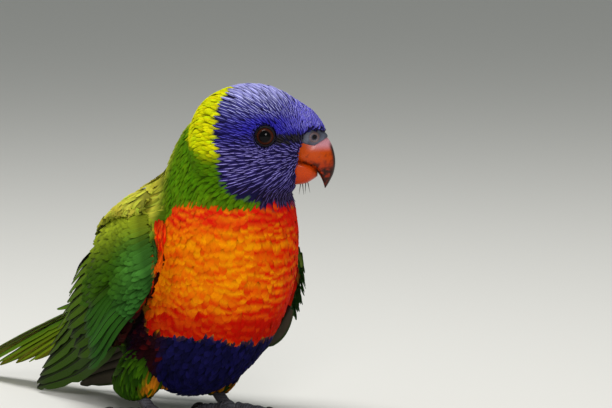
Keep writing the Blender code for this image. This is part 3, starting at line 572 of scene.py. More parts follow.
GAPE = head_place(14.5, 0.0, -8.0)  # the hood's feathers fan out from the root of the bill
BODY_LINE = np.array(
    # the line that the trunk's feathers follow, from the nape to the tail (x, y, z)
    ((2, -38, 124), (0, -36, 110), (-1, -32, 96), (-1, -29, 84), (0, -24, 70), (0, -9, 54),
     (0, 14, 44), (0, 36, 41), (0, 56, 42), (0, 80, 33)),
    float,
)
line_spots = through(BODY_LINE, np.linspace(0, 1, 160))
line_ways = unit(np.gradient(line_spots, axis=0))
SHEET_STEP = 0.02  # share of the sheet over which a direction is read
skin_wings = {}
for side_name, side in SIDES:
    steps = np.meshgrid(np.linspace(0.0, 0.7, 36), np.linspace(0.2, 1.0, 26), indexing="ij")
    s, t = (grid.ravel() for grid in steps)
    spots = sheet_spots(side_name, s, t)
    ways = sheet_spots(side_name, np.minimum(s + SHEET_STEP, 1), t) - spots
    skin_wings[side_name] = (spots, unit(ways), sheet_outward(side_name, s, t), s, t)


BATCH = 4000  # points that are worked out together
WING_NEAR = 3.0  # how far from the wing's sheet, sideways, a point still belongs to it
WING_END = 0.66  # share along the wing where its flesh ends


def nearest_rows(points, spots):
    """For each point the number of the nearest spot."""
    found = []
    for start in range(0, len(points), BATCH):
        part = points[start : start + BATCH]
        gaps = (part**2).sum(1)[:, None] - 2 * part @ spots.T + (spots**2).sum(1)
        found.append(gaps.argmin(1))
    return np.concatenate(found)


def wing_reading(points):
    """For each point: whether it is on a wing's flesh, the lie of the wing's feathers there,
    and the shares along and across, with the height over the sheet."""
    way = np.zeros_like(points)
    along, across, height = np.zeros((3, len(points)))
    on_wing = np.zeros(len(points), bool)
    for side_name, side in SIDES:
        spots, ways, outs, s, t = skin_wings[side_name]
        here = np.flatnonzero(points[:, 0] * side > 0)
        if len(here) == 0:
            continue
        nearest = nearest_rows(points[here], spots)
        offset = points[here] - spots[nearest]
        over = (offset * outs[nearest]).sum(1)
        aside = np.linalg.norm(offset - over[:, None] * outs[nearest], axis=1)
        way[here], along[here], across[here] = ways[nearest], s[nearest], t[nearest]
        height[here] = over
        stations = np.array(WING_FLESH)
        steps = np.interp(s[nearest], stations[:, 0], np.linspace(0, 1, len(stations)))
        flesh = through(stations, steps)
        on_wing[here] = (
            (aside < WING_NEAR)
            & (over > flesh[:, 4] - 1.2)
            & (over < flesh[:, 3] + 0.3)
            & (t[nearest] > flesh[:, 1] - 0.02)
            & (s[nearest] < WING_END)
        )
    return on_wing, way, along, across, height


def lie(points, outs):
    """The way that feathers lie at places on the skin, from the bill to the tail."""
    from_bill = unit(points - GAPE)
    nearest = nearest_rows(points, line_spots)
    down_body = line_ways[nearest]
    ahead, _, up = head_reading(points)
    leaving = soft(np.hypot(np.maximum(-ahead - 3, 0), np.maximum(-up - 6, 0)), 17, 28)
    way = from_bill * (1 - leaving)[:, None] + down_body * leaving[:, None]
    low = 1 - soft(points[:, 2], 16, 30)
    on_thigh = low * soft(abs(points[:, 0]), 8, 14)
    way = way * (1 - on_thigh)[:, None] + np.array((0, 0.25, -1.0)) * on_thigh[:, None]
    on_wing, wing_way = wing_reading(points)[:2]
    way = np.where(on_wing[:, None], wing_way, unit(way))
    return laid_on(way, outs)


ROOT_TRIES = 7  # roots tried for each that there is room for


def scatter(seed, wanted, gaps):
    """Roots on the wanted faces of the skin. Gaps are the bare widths across and along the
    lie that each root keeps round it, one pair for each wanted face."""
    draw = np.random.default_rng(seed)
    share = face_areas[wanted] / gaps.prod(1)
    count = int(share.sum() / MM**2 * ROOT_TRIES)
    picked = draw.choice(len(wanted), count, p=share / share.sum())
    u, v = draw.random((2, count, 1))
    a, b, c, d = (skin_points[skin_faces[wanted[picked], k]] for k in range(4))
    spots = (a * (1 - u) + b * u) * (1 - v) + (d * (1 - u) + c * u) * v
    outs = face_outs[wanted[picked]]
    ways = lie(spots, outs)
    asides = np.cross(ways, outs)
    size = gaps.max()
    cells = {}
    kept = []
    rows = zip(*(part.tolist() for part in (spots, ways, asides, outs, gaps[picked])))
    for i, ((x, y, z), way, aside, out, (gap_across, gap_along)) in enumerate(rows):
        cell = (int(x // size), int(y // size), int(z // size))
        near = (
            other
            for dx in (-1, 0, 1)
            for dy in (-1, 0, 1)
            for dz in (-1, 0, 1)
            for other in cells.get((cell[0] + dx, cell[1] + dy, cell[2] + dz), ())
        )
        for ox, oy, oz in near:
            ox, oy, oz = ox - x, oy - y, oz - z
            along = (ox * way[0] + oy * way[1] + oz * way[2]) / gap_along
            across = (ox * aside[0] + oy * aside[1] + oz * aside[2]) / gap_across
            over = ox * out[0] + oy * out[1] + oz * out[2]
            if along * along + across * across + over * over < 1:
                break
        else:
            cells.setdefault(cell, []).append((x, y, z))
            kept.append(i)
    return spots[kept], outs[kept], gaps[picked][kept]


FLOOR_GAP = 0.12  # nothing of the coat lies lower
PATCH = 0.003  # how wide and long a small feather's patch on the OFBake map is
SHARP_EDGE = math.radians(70)  # edges that turn by more than this stay sharp
# A vane's cross-section, round it from its left edge over the top: place across, lift in
# thicknesses, and 1 on the underside
SMALL_SECTION = ((-1, 0, 0), (-0.5, 0.6, 0), (0, 1.0, 0), (0.5, 0.6, 0), (1, 0, 0), (0, -0.5, 1))


def vane_mesh(name, vanes, thick, cup, finish, patches=None, patch=PATCH,
              section=SMALL_SECTION):
    """One mesh of many closed vanes. Vanes holds the shares of length where the rings are, a
    point and the directions along and over at each ring of each vane, its left and right half
    widths there, and the colours of vane and shaft. Patches are the middles of the vanes'
    patches on the OFBake map, each of that size, at the roots' places if not given."""
    places, spine, along, over, left, right, tint, shaft = vanes
    thick, cup, section = np.asarray(thick), np.asarray(cup), np.array(section, float)
    count, rings, sides = len(spine), len(places), len(section)
    x = section[:, 0]
    across = np.cross(along, over)
    half = np.where(x < 0, left[..., None], right[..., None])
    rise = thick[..., None] * section[:, 1] - cup[..., None] * half * x**2
    points = (
        spine[:, :, None]
        + across[:, :, None] * (half * x)[..., None]
        + over[:, :, None] * rise[..., None]
    )
    points[..., 2] = np.maximum(points[..., 2], FLOOR_GAP)
    ring, k = np.meshgrid(np.arange(rings - 1), np.arange(sides), indexing="ij")
    after = (k + 1) % sides
    quads = np.stack(
        [ring * sides + k, ring * sides + after, (ring + 1) * sides + after, (ring + 1) * sides + k],
        -1,
    ).reshape(-1, 4)
    caps = np.array([np.arange(sides)[::-1], (rings - 1) * sides + np.arange(sides)])
    one = np.concatenate([quads.ravel(), caps.ravel()])
    starts = np.concatenate([np.arange(len(quads)) * 4, len(quads) * 4 + np.arange(2) * sides])
    step = np.arange(count)[:, None]
    mesh = bpy.data.meshes.new(name)
    mesh.vertices.add(points[..., 0].size)
    mesh.vertices.foreach_set("co", (points * MM + STANDING).astype(np.float32).ravel())
    mesh.loops.add(one.size * count)
    mesh.loops.foreach_set("vertex_index", (one + step * rings * sides).astype(np.int32).ravel())
    mesh.polygons.add(starts.size * count)
    mesh.polygons.foreach_set("loop_start", (starts + step * one.size).astype(np.int32).ravel())
    mesh.update(calc_edges=True)
    mesh.shade_smooth()
    mesh.set_sharp_from_angle(angle=SHARP_EDGE)

    shape = (count, rings, sides)
    for label, colours in (("tint", tint), ("shaft", shaft)):
        full = np.broadcast_to(colours[:, :, None] if colours.ndim == 3 else colours, (*shape, 3))
        paint(mesh, label, full.reshape(-1, 3))
    length = np.concatenate(
        [np.zeros((count, 1)), np.cumsum(np.linalg.norm(np.diff(spine, axis=1), axis=2), 1)], 1
    )
    variety = np.random.default_rng(len(name)).random(count)
    for label, parts in (
        ("vane", (x, places[:, None], section[:, 2])),
        ("size", (half * x, length[..., None], variety[:, None, None] * 50)),
    ):
        layer = mesh.attributes.new(label, "FLOAT_VECTOR", "POINT")
        full = np.stack([np.broadcast_to(part, shape) for part in parts], -1)
        layer.data.foreach_set("vector", full.astype(np.float32).ravel())

    # the map's patch holds the top in its middle and half of the underside at each edge
    under = section[:, 2]
    turned = np.where(x[k] + x[after] > 0, 2.0, -2.0)
    corners = np.stack([k, after, after, k], -1).reshape(-1, 4)
    turned = turned.reshape(-1, 1)
    aside = np.where(under[corners] > 0, turned - x[corners], x[corners]) / 4
    ends = places[np.stack([ring, ring, ring + 1, ring + 1], -1).reshape(-1, 4)] - 0.5
    cap_aside = np.concatenate([x[::-1], x]) / 4
    cap_ends = np.repeat([places[0] - 0.5, places[-1] - 0.5], sides)
    u = np.concatenate([aside.ravel(), cap_aside]) * patch
    v = np.concatenate([ends.ravel(), cap_ends]) * patch
    if patches is None:
        patches = unwrapped(spine[:, 0])
    uv = np.stack([u, v], -1)[None] + patches[:, None]
    mesh.uv_layers.new(name="OFBake").data.foreach_set("uv", uv.astype(np.float32).ravel())
    mesh.materials.append(finish)
    made = linked(name, mesh)
    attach(made, "root")
    return made


def unwrapped(points):
    """Places on an unwrap of the skin's own shape: round the body line, and along it."""
    nearest = nearest_rows(points, line_spots)
    offset = points - line_spots[nearest]
    up = np.cross(line_ways[nearest], (1.0, 0, 0))
    turn = np.arctan2(offset[:, 0], (offset * up).sum(1)) / (2 * math.pi) + 0.5
    way = (nearest + (offset * line_ways[nearest]).sum(1)) / len(line_spots)
    return np.stack([0.02 + 0.96 * turn, np.clip(0.05 + 0.9 * way, 0.01, 0.99)], 1)


def head_unwrapped(points):
    """The same for the hood, round the line from its nape to the bill."""
    ahead, left, up = head_reading(points)
    turn = np.arctan2(left, -(up + 6)) / (2 * math.pi) + 0.5
    return np.stack([0.02 + 0.96 * turn, np.clip(0.5 + ahead / 66, 0.01, 0.99)], 1)


STRAIGHT = 0.65  # how much of a feather's way is kept from ring to ring
ROOT_DEPTH = 0.25  # how deep under the skin a feather starts


def coat(name, seed, chosen, gaps, reach, spread, outline, belongs, colour, finish,
         unwrap=unwrapped, cup=0.22, yaw=7.0, roll=7.0, thick=0.16):
    """Small feathers laid over the chosen faces of the skin. Gaps are the bare widths across
    and along the lie, for all faces or for each, and reach and spread turn them into a
    feather's length and half width. The outline gives shares of length and width, belongs
    tells from the place of its tip whether a feather is one of these, and colour paints it."""
    draw = np.random.default_rng(seed)
    wanted = np.flatnonzero(chosen)
    gaps = np.broadcast_to(gaps, (len(chosen), 2))[wanted]
    roots, outs, gap = scatter(seed, wanted, gaps)
    length = gap[:, 1] * reach * draw.uniform(0.9, 1.1, len(roots))
    half_width = gap[:, 0] * spread
    height = 0.5 + 0.25 * gap[:, 1]
    count = len(roots)
    places, widths = np.array(outline).T
    rings = len(places)
    spine, along, over = np.empty((3, count, rings, 3))
    spots = roots
    way = lie(roots, outs)
    turn = np.radians(draw.normal(0, yaw, count))[:, None]
    way = unit(way * np.cos(turn) + np.cross(way, outs) * np.sin(turn))
    spine[:, 0], along[:, 0], over[:, 0] = spots, way, outs
    for k in range(1, rings):
        step = (places[k] - places[k - 1]) * length
        spots, outs = on_skin(spots + way * step[:, None])
        way = way * STRAIGHT + lie(spots, outs) * (1 - STRAIGHT)
        way = laid_on(way, outs)
        spine[:, k], along[:, k], over[:, k] = spots, way, outs
    kept = belongs(spine[:, -2])
    spine, along, over, roots = spine[kept], along[kept], over[kept], roots[kept]
    half_width, height, count = half_width[kept], height[kept], int(kept.sum())
    top = height[:, None] * draw.uniform(0.8, 1.15, (count, 1))
    climb = places**0.75 - 0.12 * soft(places, 0.75, 1.0)
    rise = -ROOT_DEPTH + (top + ROOT_DEPTH) * climb
    spine = spine + over * rise[..., None]
    turn = np.radians(draw.normal(0, roll, count))[:, None, None]
    over = over * np.cos(turn) + np.cross(along, over) * np.sin(turn)
    size = (half_width * draw.uniform(0.88, 1.12, count))[:, None] * widths
    lean = draw.uniform(0.9, 1.1, (count, 1))
    vanes = (
        places, spine, along, over, size * lean, size * (2 - lean), *colour(spine, places, draw)
    )
    vane_mesh(name, vanes, thick, cup, finish, unwrap(roots))


BARB_SLANT = -1.3  # way along the shaft to a millimetre across it


def plume(name, streak, streak_edge, barb_gap, barb_depth, sheen, roughness, bloom):
    """A feather's vane of barbs: matt, with a soft bloom at grazing light. The barbs slant
    from the shaft to the edge, and the shaft shows as a streak of its own colour. Real barbs
    are a tenth of a millimetre apart or less, too fine to show, so they are drawn coarser."""
    made, tree, shader = finish(
        name, Roughness=roughness, Specular_IOR_Level=0.03, Sheen_Weight=sheen,
        Sheen_Roughness=0.4, Sheen_Tint=(*linear(bloom), 1.0),
    )
    place = add(tree, "Attribute", attribute_name="vane").outputs["Vector"]
    place = add(tree, "SeparateXYZ", {0: place}).outputs
    size = add(tree, "Attribute", attribute_name="size").outputs["Vector"]
    lengths = add(tree, "SeparateXYZ", {0: size}).outputs
    away = add(tree, "Math", {0: place["X"]}, operation="ABSOLUTE")
    aside = add(tree, "Math", {0: lengths["X"]}, operation="ABSOLUTE")
    slant = add(tree, "Math", {0: aside, 1: BARB_SLANT, 2: lengths["Y"]}, operation="MULTIPLY_ADD")
    wander = add(tree, "TexNoise", {"Vector": size, "Scale": 0.7, "Detail": 2.0})
    sway = add(tree, "Math", {0: wander, 1: barb_gap * 3, 2: slant}, operation="MULTIPLY_ADD")
    turn = add(tree, "Math", {0: sway, 1: 2 * math.pi / barb_gap}, operation="MULTIPLY")
    wave = add(tree, "Math", {0: turn}, operation="SINE")
    clumps = add(tree, "TexNoise", {"Vector": size, "Scale": 1.6, "Detail": 4.0})
    barbs = add(tree, "Math", {0: wave, 1: 0.5, 2: clumps}, operation="MULTIPLY_ADD")
    fade = {"From Min": -0.1, "From Max": 1.1, "To Min": 1 - barb_depth, "To Max": 1 + barb_depth}
    shade = add(tree, "MapRange", {"Value": barbs, **fade})
    fade = {"From Min": streak, "From Max": streak + streak_edge, "To Min": 1.0, "To Max": 0.0}
    shaft = add(tree, "MapRange", {"Value": away, **fade}, interpolation_type="SMOOTHSTEP")
    top_only = add(tree, "Math", {0: 1.0, 1: place["Z"]}, operation="SUBTRACT")
    amount = add(tree, "Math", {0: shaft, 1: top_only}, operation="MULTIPLY")
    tint, pale = (add(tree, "Attribute", attribute_name=name) for name in ("tint", "shaft"))
    mix = add(tree, "Mix", {0: amount, 6: tint, 7: pale}, data_type="RGBA")
    surface(tree, shader, shade, barbs, 0.06, 0.6, mix.outputs[2])
    return made


# Where each part of the coat grows: faces of the skin that no other flesh lies against, on
# the wings, under the scapulars' solids or elsewhere, and the legs with their trousers.

OPEN_REACH = 7.0  # a face with flesh nearer than this in front of it is hidden
CLEAR_REACH = 2.0  # the same where feathers may lie closer
LOOK_FROM = 0.6  # height over the skin from which this is looked for


def open_to_air(middles, outs, reach):
    """Whether nothing of the skin stands in front of places within that reach."""
    found = []
    for spot, out in zip((middles + outs * LOOK_FROM).tolist(), outs.tolist()):
        found.append(skin_tree.ray_cast(Vector(spot), Vector(out), reach)[0] is None)
    return np.array(found)


face_open = open_to_air(face_middles, face_outs, OPEN_REACH)
face_clear = open_to_air(face_middles, face_outs, CLEAR_REACH)
shoulder_points, shoulder_faces = [], []
for side_name, side in SIDES:
    mesh = nodes["scapulars_" + side_name].data
    before = len(shoulder_points)
    shoulder_points += read_points(mesh).tolist()
    shoulder_faces += [[corner + before for corner in face.vertices] for face in mesh.polygons]
shoulder_tree = BVHTree.FromPolygons(shoulder_points, shoulder_faces)
coat_top = (face_middles + face_outs * COAT_DEPTH).tolist()
face_shoulder = np.array([shoulder_tree.find_nearest(spot)[3] < 1.0 for spot in coat_top])
face_on_wing, _, face_s, *_ = wing_reading(face_middles)
face_on_wing &= ~face_shoulder
face_lie = lie(face_middles, face_outs)
face_ahead, _, face_up = head_reading(face_middles)
off_wing = face_open & ~face_on_wing
leg = soft(-face_middles[:, 2], -31, -24) * soft(abs(face_middles[:, 0]), 11.5, 13.5)
leg = leg * soft(face_middles[:, 1], -6, -3)
eye_gap = np.minimum.reduce(
    [np.linalg.norm(face_middles - eye_spot(side) - LEFTWARD * side * 3, axis=1)
     for name, side in SIDES]
)


def reaching(number, reach):
    """Faces from which a feather of that reach shows a marking, by the marking's number."""
    here = markings(face_middles)[number]
    there = markings(face_middles + face_lie * reach)[number]
    return np.maximum(here, there) > 0.1


def gaps_growing(first, more, share):
    """Bare widths across and along for each face, from the first pair upwards."""
    return np.array(first) + np.array(more) * share[:, None]


# The hood: narrow pointed feathers, dark violet with a pale lavender-blue shaft streak each.
# They fan out from the bill over crown and cheek, and are smallest at the face.

LID_EDGE = 4.4  # no feather grows nearer to the middle of an eye
HACKLE = ((0, 0.5), (0.25, 0.9), (0.5, 1.0), (0.72, 0.85), (0.88, 0.5), (1, 0.08))


def hood_colour(spine, places, draw):
    """Violet, bluest over the eye and the lore, darkest on the throat, and pale lilac over the top of
    the crown, a painted sheen of light from above.
    """
    ahead, _, up = head_reading(spine[:, 3])
    count = len(spine)
    crown = soft(up, 2, 13)
    throat = soft(-up, 17, 25)
    cheek = soft(-up, 1, 7) * (1 - throat)
    brow = soft(up, -1, 1.5) * (1 - soft(up, 5, 9)) * soft(ahead, -16, 2)
    front = soft(ahead, 6, 18) * soft(up, 0, 4)
    # The crown grows paler towards its top, partly its own colour and partly a painted sheen of sky
    # light; the pale lilac over the very top is painted sheen.
    ground = layered(
        blend("#1A1656", "#38367E", crown), ("#8C8CCA", 0.85 * soft(up, 11, 17)),
        ("#261F5A", cheek), ("#22182E", throat), ("#1C169C", 0.7 * brow),
        ("#5048BE", 0.8 * front),
    )
    streak = layered(
        blend("#5A54C8", "#CACCFC", crown), ("#A89EF4", cheek), ("#584C90", throat),
        ("#4A46D8", 0.75 * brow), ("#CCCAFF", 0.8 * front),
    )
    ground = ground * draw.uniform(0.65, 1.3, (count, 1))
    streak = streak * draw.uniform(0.6, 1.3, (count, 1))
    bridle = soft(ahead, 4.5, 7) * (1 - soft(abs(up + 2.9 - 0.10 * ahead), 1.1, 2.3))
    ground = blend(ground, "#15130C", bridle)[:, None]
    streak = blend(streak, "#3A3626", 0.9 * bridle)[:, None]
    fade = soft(places, 0.1, 0.45)
    # The vane darkens to three quarters towards its base: painted shade under the feathers over it.
    return ground * (0.75 + 0.25 * fade)[:, None], blend(ground, streak, fade)


bill_spots = head_place(
    *np.array([(a, b, c) for a, c in ((16, 4), (20, 4), (24, 2), (14, -4), (13, -12), (13, -19))
               for b in (-4.5, 0, 4.5)]).T
)
bill_gap = np.linalg.norm(face_middles[:, None] - bill_spots, axis=2).min(1)
face_near = soft(np.minimum(eye_gap - 4.5, bill_gap - 2), 0, 15)
open_head = face_open | (face_clear & (face_ahead > 5))
on_hood = reaching(0, 3) & open_head & (eye_gap > LID_EDGE) & (face_ahead < 26)
hood_gaps = gaps_growing((0.62, 1.25), (0.5, 1.35), face_near)
parting = soft(face_ahead, 7, 12) * soft(face_up, -4, 0) * (1 - soft(face_up, 8, 13))
hood_gaps *= (1 - 0.38 * parting)[:, None]
coat(
    "hood", 2, on_hood, hood_gaps, 2.6, 0.85, HACKLE,
    lambda tips: markings(tips)[0] > 0.5, hood_colour,
    plume("hood feather, violet with a pale shaft", 0.06, 0.16, 0.35, 0.15, 0.2, 0.6, "#B4ACFF"),
    head_unwrapped, thick=0.12,
)


# Collar, neck and back: soft feathers, hair-like on the nape and broader down the back, green
# with a yellow-green collar behind the hood. The mantle is the yellowest, partly its own colour and
# partly a painted highlight of the light from above.

SOFT_FEATHER = ((0, 0.45), (0.3, 0.9), (0.55, 1.0), (0.76, 0.9), (0.92, 0.55), (1, 0.12))
ROUND_FEATHER = ((0, 0.4), (0.3, 0.9), (0.55, 1.0), (0.76, 0.96), (0.92, 0.72), (1, 0.25))


def from_base(spine, places, tint):
    """A feather's colour with its hidden base darkened, a painted shade where it lies under the
    feathers over it, and in the colour of the place where it is rooted, so that no bright base shows
    beyond a marking's border."""
    return blend(plumage(spine) * 0.5, tint, soft(places, 0.3, 0.62))


def painted_shade_at_base(tint, places, least, start, end):
    """A feather's colour, darkened to the least share at its base: a painted shade where the base
    lies under the feathers over it.
    """
    return tint * (least + (1 - least) * soft(places, start, end))[:, None]


def plain_colour(spine, places, draw):
    """The ground colour of the place where the feather shows, a little paler at its edge."""
    ground = plumage(spine[:, 4])[:, None]
    ground = ground * draw.uniform(0.82, 1.14, (len(spine), 1, 1))
    ground = ground * (1 + 0.06 * draw.standard_normal((len(spine), 1, 3)))
    # its hidden base darkened: painted shade under the feathers over it
    tint = from_base(spine, places, np.clip(ground, 0, 1))
    return tint, tint * 0.8


def is_green(tips):
    """Whether a place is outside hood, breast and belly."""
    hood, _, breast, belly, _ = markings(tips)
    return (hood <= 0.5) & (breast <= 0.5) & (belly <= 0.5)


green_plume = plume("body feather, green and soft", 0.02, 0.06, 0.35, 0.14, 0.08, 0.7, "#90B030")
low_back = soft(face_middles[:, 1], -24, 16)
there = markings(face_middles + face_lie * 6)
open_green = (there[0] < 0.9) & (there[2] < 0.9) & (there[3] < 0.9)
coat(
    "neck_and_back", 3, off_wing & open_green & (leg < 0.5) & ~face_shoulder,
    gaps_growing((0.9, 1.8), (1.3, 1.5), low_back), 2.9, 0.82, SOFT_FEATHER, is_green,
    plain_colour, green_plume,
)
coat(
    "scapulars", 8, face_open & face_shoulder & (face_outs[:, 2] > -0.1), (1.4, 2.5), 3.2, 0.88,
    SOFT_FEATHER, lambda tips: tips[:, 2] > 40, plain_colour, green_plume,
    cup=0.15, yaw=4.0, roll=4.0,
)


# The breast: broad round feathers, yellow-orange with a red crescent at the tip, which line
# up in wavy bars. The red is strongest at the throat, the middle and the lower edge.

BAR_HEIGHT = 4.0  # from one bar to the next
# Place to the left, and how red the breast is and how strong its bars are there
REDNESS = ((-30, 0.34), (-16, 0.30), (0, 0.58), (12, 0.86), (22, 1.05), (34, 0.95))
BAR_STRENGTH = ((-30, 0.45), (-5, 0.8), (12, 1))


def breast_colour(spine, places, draw):
    """Bars of orange and red that run on from feather to feather."""
    rise = spine[..., 2]
    throat = soft(rise, 75, 84)
    low = 1 - soft(rise, 36, 56)
    redness = read_off(REDNESS, spine[..., 0])
    wave = 3.6 * ripple(spine, 24, 1.0) + 1.4 * ripple(spine, 9, 5.0)
    bar = np.sin((rise + wave) * 2 * math.pi / BAR_HEIGHT)
    bar = bar * (0.75 + 0.5 * ripple(spine, 12, 8.0)) + 0.5 * ripple(spine * (1, 1, 2.2), 6, 3.0)
    blotch = ripple(spine * (1, 1, 1.4), 19, 9.0)
    bar = bar * read_off(BAR_STRENGTH, spine[..., 0])
    share = redness + 0.16 * blotch + 0.6 * low + 0.5 * throat + 0.6 * bar
    share = share + draw.uniform(-0.07, 0.07, (len(spine), 1))
    red = layered(blend("#D41402", "#AC0A00", low), ("#D01208", throat))
    gold = blend("#EC9200", "#E05802", soft(redness + low, 0.7, 1.3))
    tint = blend(gold, red, np.clip(share, 0, 1) ** 0.8)
    tint = tint * draw.uniform(0.9, 1.04, (len(spine), 1, 1))
    # its base darkened: painted shade under the feathers over it
    tint = painted_shade_at_base(tint, places, 0.75, 0.2, 0.6)
    # The hidden base takes the place's colour at half brightness: painted shade under the feathers
    # over it.
    shows = np.maximum(markings(spine)[2], soft(places, 0.3, 0.62))
    tint = blend(plumage(spine) * 0.5, tint, shows)
    return tint, tint * 0.95


coat(
    "breast", 4, reaching(2, 6) & off_wing, (1.7, 1.6), 4.2, 1.0, SOFT_FEATHER,
    lambda tips: markings(tips)[2] > 0.5, breast_colour,
    plume("breast feather, orange tipped with red", 0.01, 0.05, 0.4, 0.08, 0.05, 0.75, "#FFA020"),
    cup=0.10, thick=0.10,
)


# The shoulder: long soft feathers of neck and mantle that bridge the hollow between neck,
# scapulars and wing, and the red and orange tuft that fills the corner in front of the wing.

SPAN_LIFT = 0.8  # how far over the skin a bridging feather lies at least


def bridging(name, starts, ends, slides, length, count, half_width, colour, finish, seed):
    """Feathers that run straight from root to tip in rows, and rest on what is under them.
    Starts and ends are the first and last place of a row, on the bird's right side. Slides
    and length are shares of the way between: where a feather starts, and how far it goes."""
    draw = np.random.default_rng(seed)
    places, widths = np.array(SOFT_FEATHER).T
    share = (np.arange(count) + draw.uniform(-0.3, 0.3, count))[:, None] / (count - 1)
    root, tip = between(*starts, share), between(*ends, share)
    way = tip - root
    root = root + draw.uniform(*slides, (count, 1)) * way
    tip = root + way * length
    root = np.concatenate([root, root * (-1, 1, 1)])
    tip = np.concatenate([tip, tip * (-1, 1, 1)])
    spine = root[:, None] + (tip - root)[:, None] * places[:, None]
    for k in range(3):
        under, outs = on_skin(spine)
        low = SPAN_LIFT * (0.2 + places) - ((spine - under) * outs).sum(-1)
        spine = spine + outs * np.maximum(low, 0)[..., None]
        spine[:, 1:-1] = (spine[:, :-2] + 2 * spine[:, 1:-1] + spine[:, 2:]) / 4
    along = unit(np.gradient(spine, axis=1))
    outs = outs + outs.mean(1, keepdims=True)
    over = laid_on(outs, along)
    over = unit(over + over.mean(1, keepdims=True))
    half = widths * half_width * draw.uniform(0.85, 1.15, (len(spine), 1))
    vanes = (places, spine, along, over, half, half, *colour(spine, places, draw))
    vane_mesh(name, vanes, 0.14, 0.15, finish)


def tuft_colour(spine, places, draw):
    """Red and orange, browner low down."""
    ground = blend("#CC1402", "#EE5A08", draw.random((len(spine), 1)) ** 2)
    ground = blend(ground, "#C65204", 1 - soft(spine[:, 4:5, 2], 64, 69))
    # its base darkened: painted shade under the feathers over it
    tint = painted_shade_at_base(ground, places, 0.5, 0.2, 0.6)
    return tint, tint * 0.9


tuft_plume = plume("shoulder tuft feather, red", 0.02, 0.05, 0.4, 0.08, 0.05, 0.75, "#FFA020")
bridging(
    "shoulder_tuft", ((-28.5, -18, 81), (-27, -22, 79.5)), ((-35, -25.5, 61), (-32.5, -28, 63)),
    (-0.06, 0.75), 0.32, 80, 0.8, tuft_colour, tuft_plume, 12,
)
bridging(
    "shoulder_bridge", ((-13, -14, 101.5), (-26, -22, 82)), ((-15.5, 10, 92.5), (-32, -5, 76.5)),
    (-0.25, 0.12), 1.0, 44, 1.5, plain_colour, green_plume, 13,
)


# The belly and flanks: loose navy feathers that hang over the thighs, almost black at the
# flanks with maroon ones among them.


def belly_colour(spine, places, draw):
    """Dark navy, here and there bluer or maroon."""
    spots = spine[:, 4]
    count = len(spots)
    flank = markings(spots)[4]
    bright = linear("#15134E") * draw.uniform(0.2, 1.3, (count, 1))
    ground = blend(plumage(spots), bright, 0.5 * (1 - flank))
    odd = (draw.random(count) < 0.12) & (flank > 0.4)
    ground = np.where(odd[:, None], linear("#3A0606"), ground)[:, None]
    # its hidden base darkened: painted shade under the feathers over it
    tint = from_base(spine, places, ground * draw.uniform(0.7, 1.25, (count, 1, 1)))
    return tint, tint * 0.8


coat(
    "belly", 5, off_wing & reaching(3, 7) & (leg < 0.6), (1.5, 2.0), 3.4, 0.88, SOFT_FEATHER,
    lambda tips: (markings(tips)[3] > 0.5)
    & ((tips[:, 2] > 24) | (abs(tips[:, 0]) < 13.5) | (tips[:, 1] < -4)), belly_colour,
    plume("belly feather, navy and loose", 0.02, 0.06, 0.4, 0.18, 0.08, 0.7, "#4040A0"),
)


# The thighs: short downy trousers over the upper legs, green with yellow and orange inside
# and in front.


def thigh_colour(spine, places, draw):
    """Green, with yellow and orange inside and in front."""
    spots = spine[:, 3]
    count = len(spots)
    inner = (1 - soft(abs(spots[:, 0]), 20, 23)) * (1 - soft(spots[:, 1], 1, 5))
    inner = inner * (1 - soft(spots[:, 2], 15, 19))
    green = blend("#1A3A02", "#365C06", draw.random(count))
    warm = blend("#C98A0C", "#C8641A", draw.random(count))
    ground = blend(green, warm, inner * (draw.random(count) < 0.9))
    tint = ground[:, None] * draw.uniform(0.7, 1.2, (count, 1, 1))
    # its base darkened: painted shade under the feathers over it
    tint = painted_shade_at_base(tint, places, 0.5, 0.3, 0.8)
    return tint, tint * 0.85


coat(
    "thighs", 6, face_open & (leg > 0.3), (1.1, 2.0), 3.6, 0.8, SOFT_FEATHER,
    lambda tips: tips[:, 2] > 3, thigh_colour, green_plume,
)


# The wings: small coverts over the flesh, rows of larger ones over those, then greater
# coverts, alula, secondaries and primaries in tiers, each a stiff vane on a raised shaft.


def wing_green(s, t):
    """The green of the wing's upper side: yellow-green along the back, partly its own colour and
    partly a painted highlight of the light from above, bluish at the front edge, and darker towards
    the tips."""
    # The yellow-green along the back is partly a painted highlight of the light from above.
    return layered(
        blend("#2C5002", "#92A020", 1 - soft(t, 0.42, 0.70)),
        ("#2C4802", 0.7 * soft(s, 0.25, 0.45) * soft(t, 0.55, 0.75)),
        ("#468030", soft(t, 0.5, 0.8) * (1 - soft(s, 0.05, 0.3))),
        ("#2C5C20", soft(t, 0.72, 0.95) * (1 - soft(s, 0.5, 0.8))),
    )


under_wing, _, s, t, _ = wing_reading(skin_points)
skin_colours = blend(plumage(skin_points), wing_green(s, t), under_wing.astype(float))
# The skin takes the plumage's colour, and the wing's green on the wings, at 0.55 of it: a painted
# shade of the gaps between feathers.
paint(eased, "tint", skin_colours * 0.55)


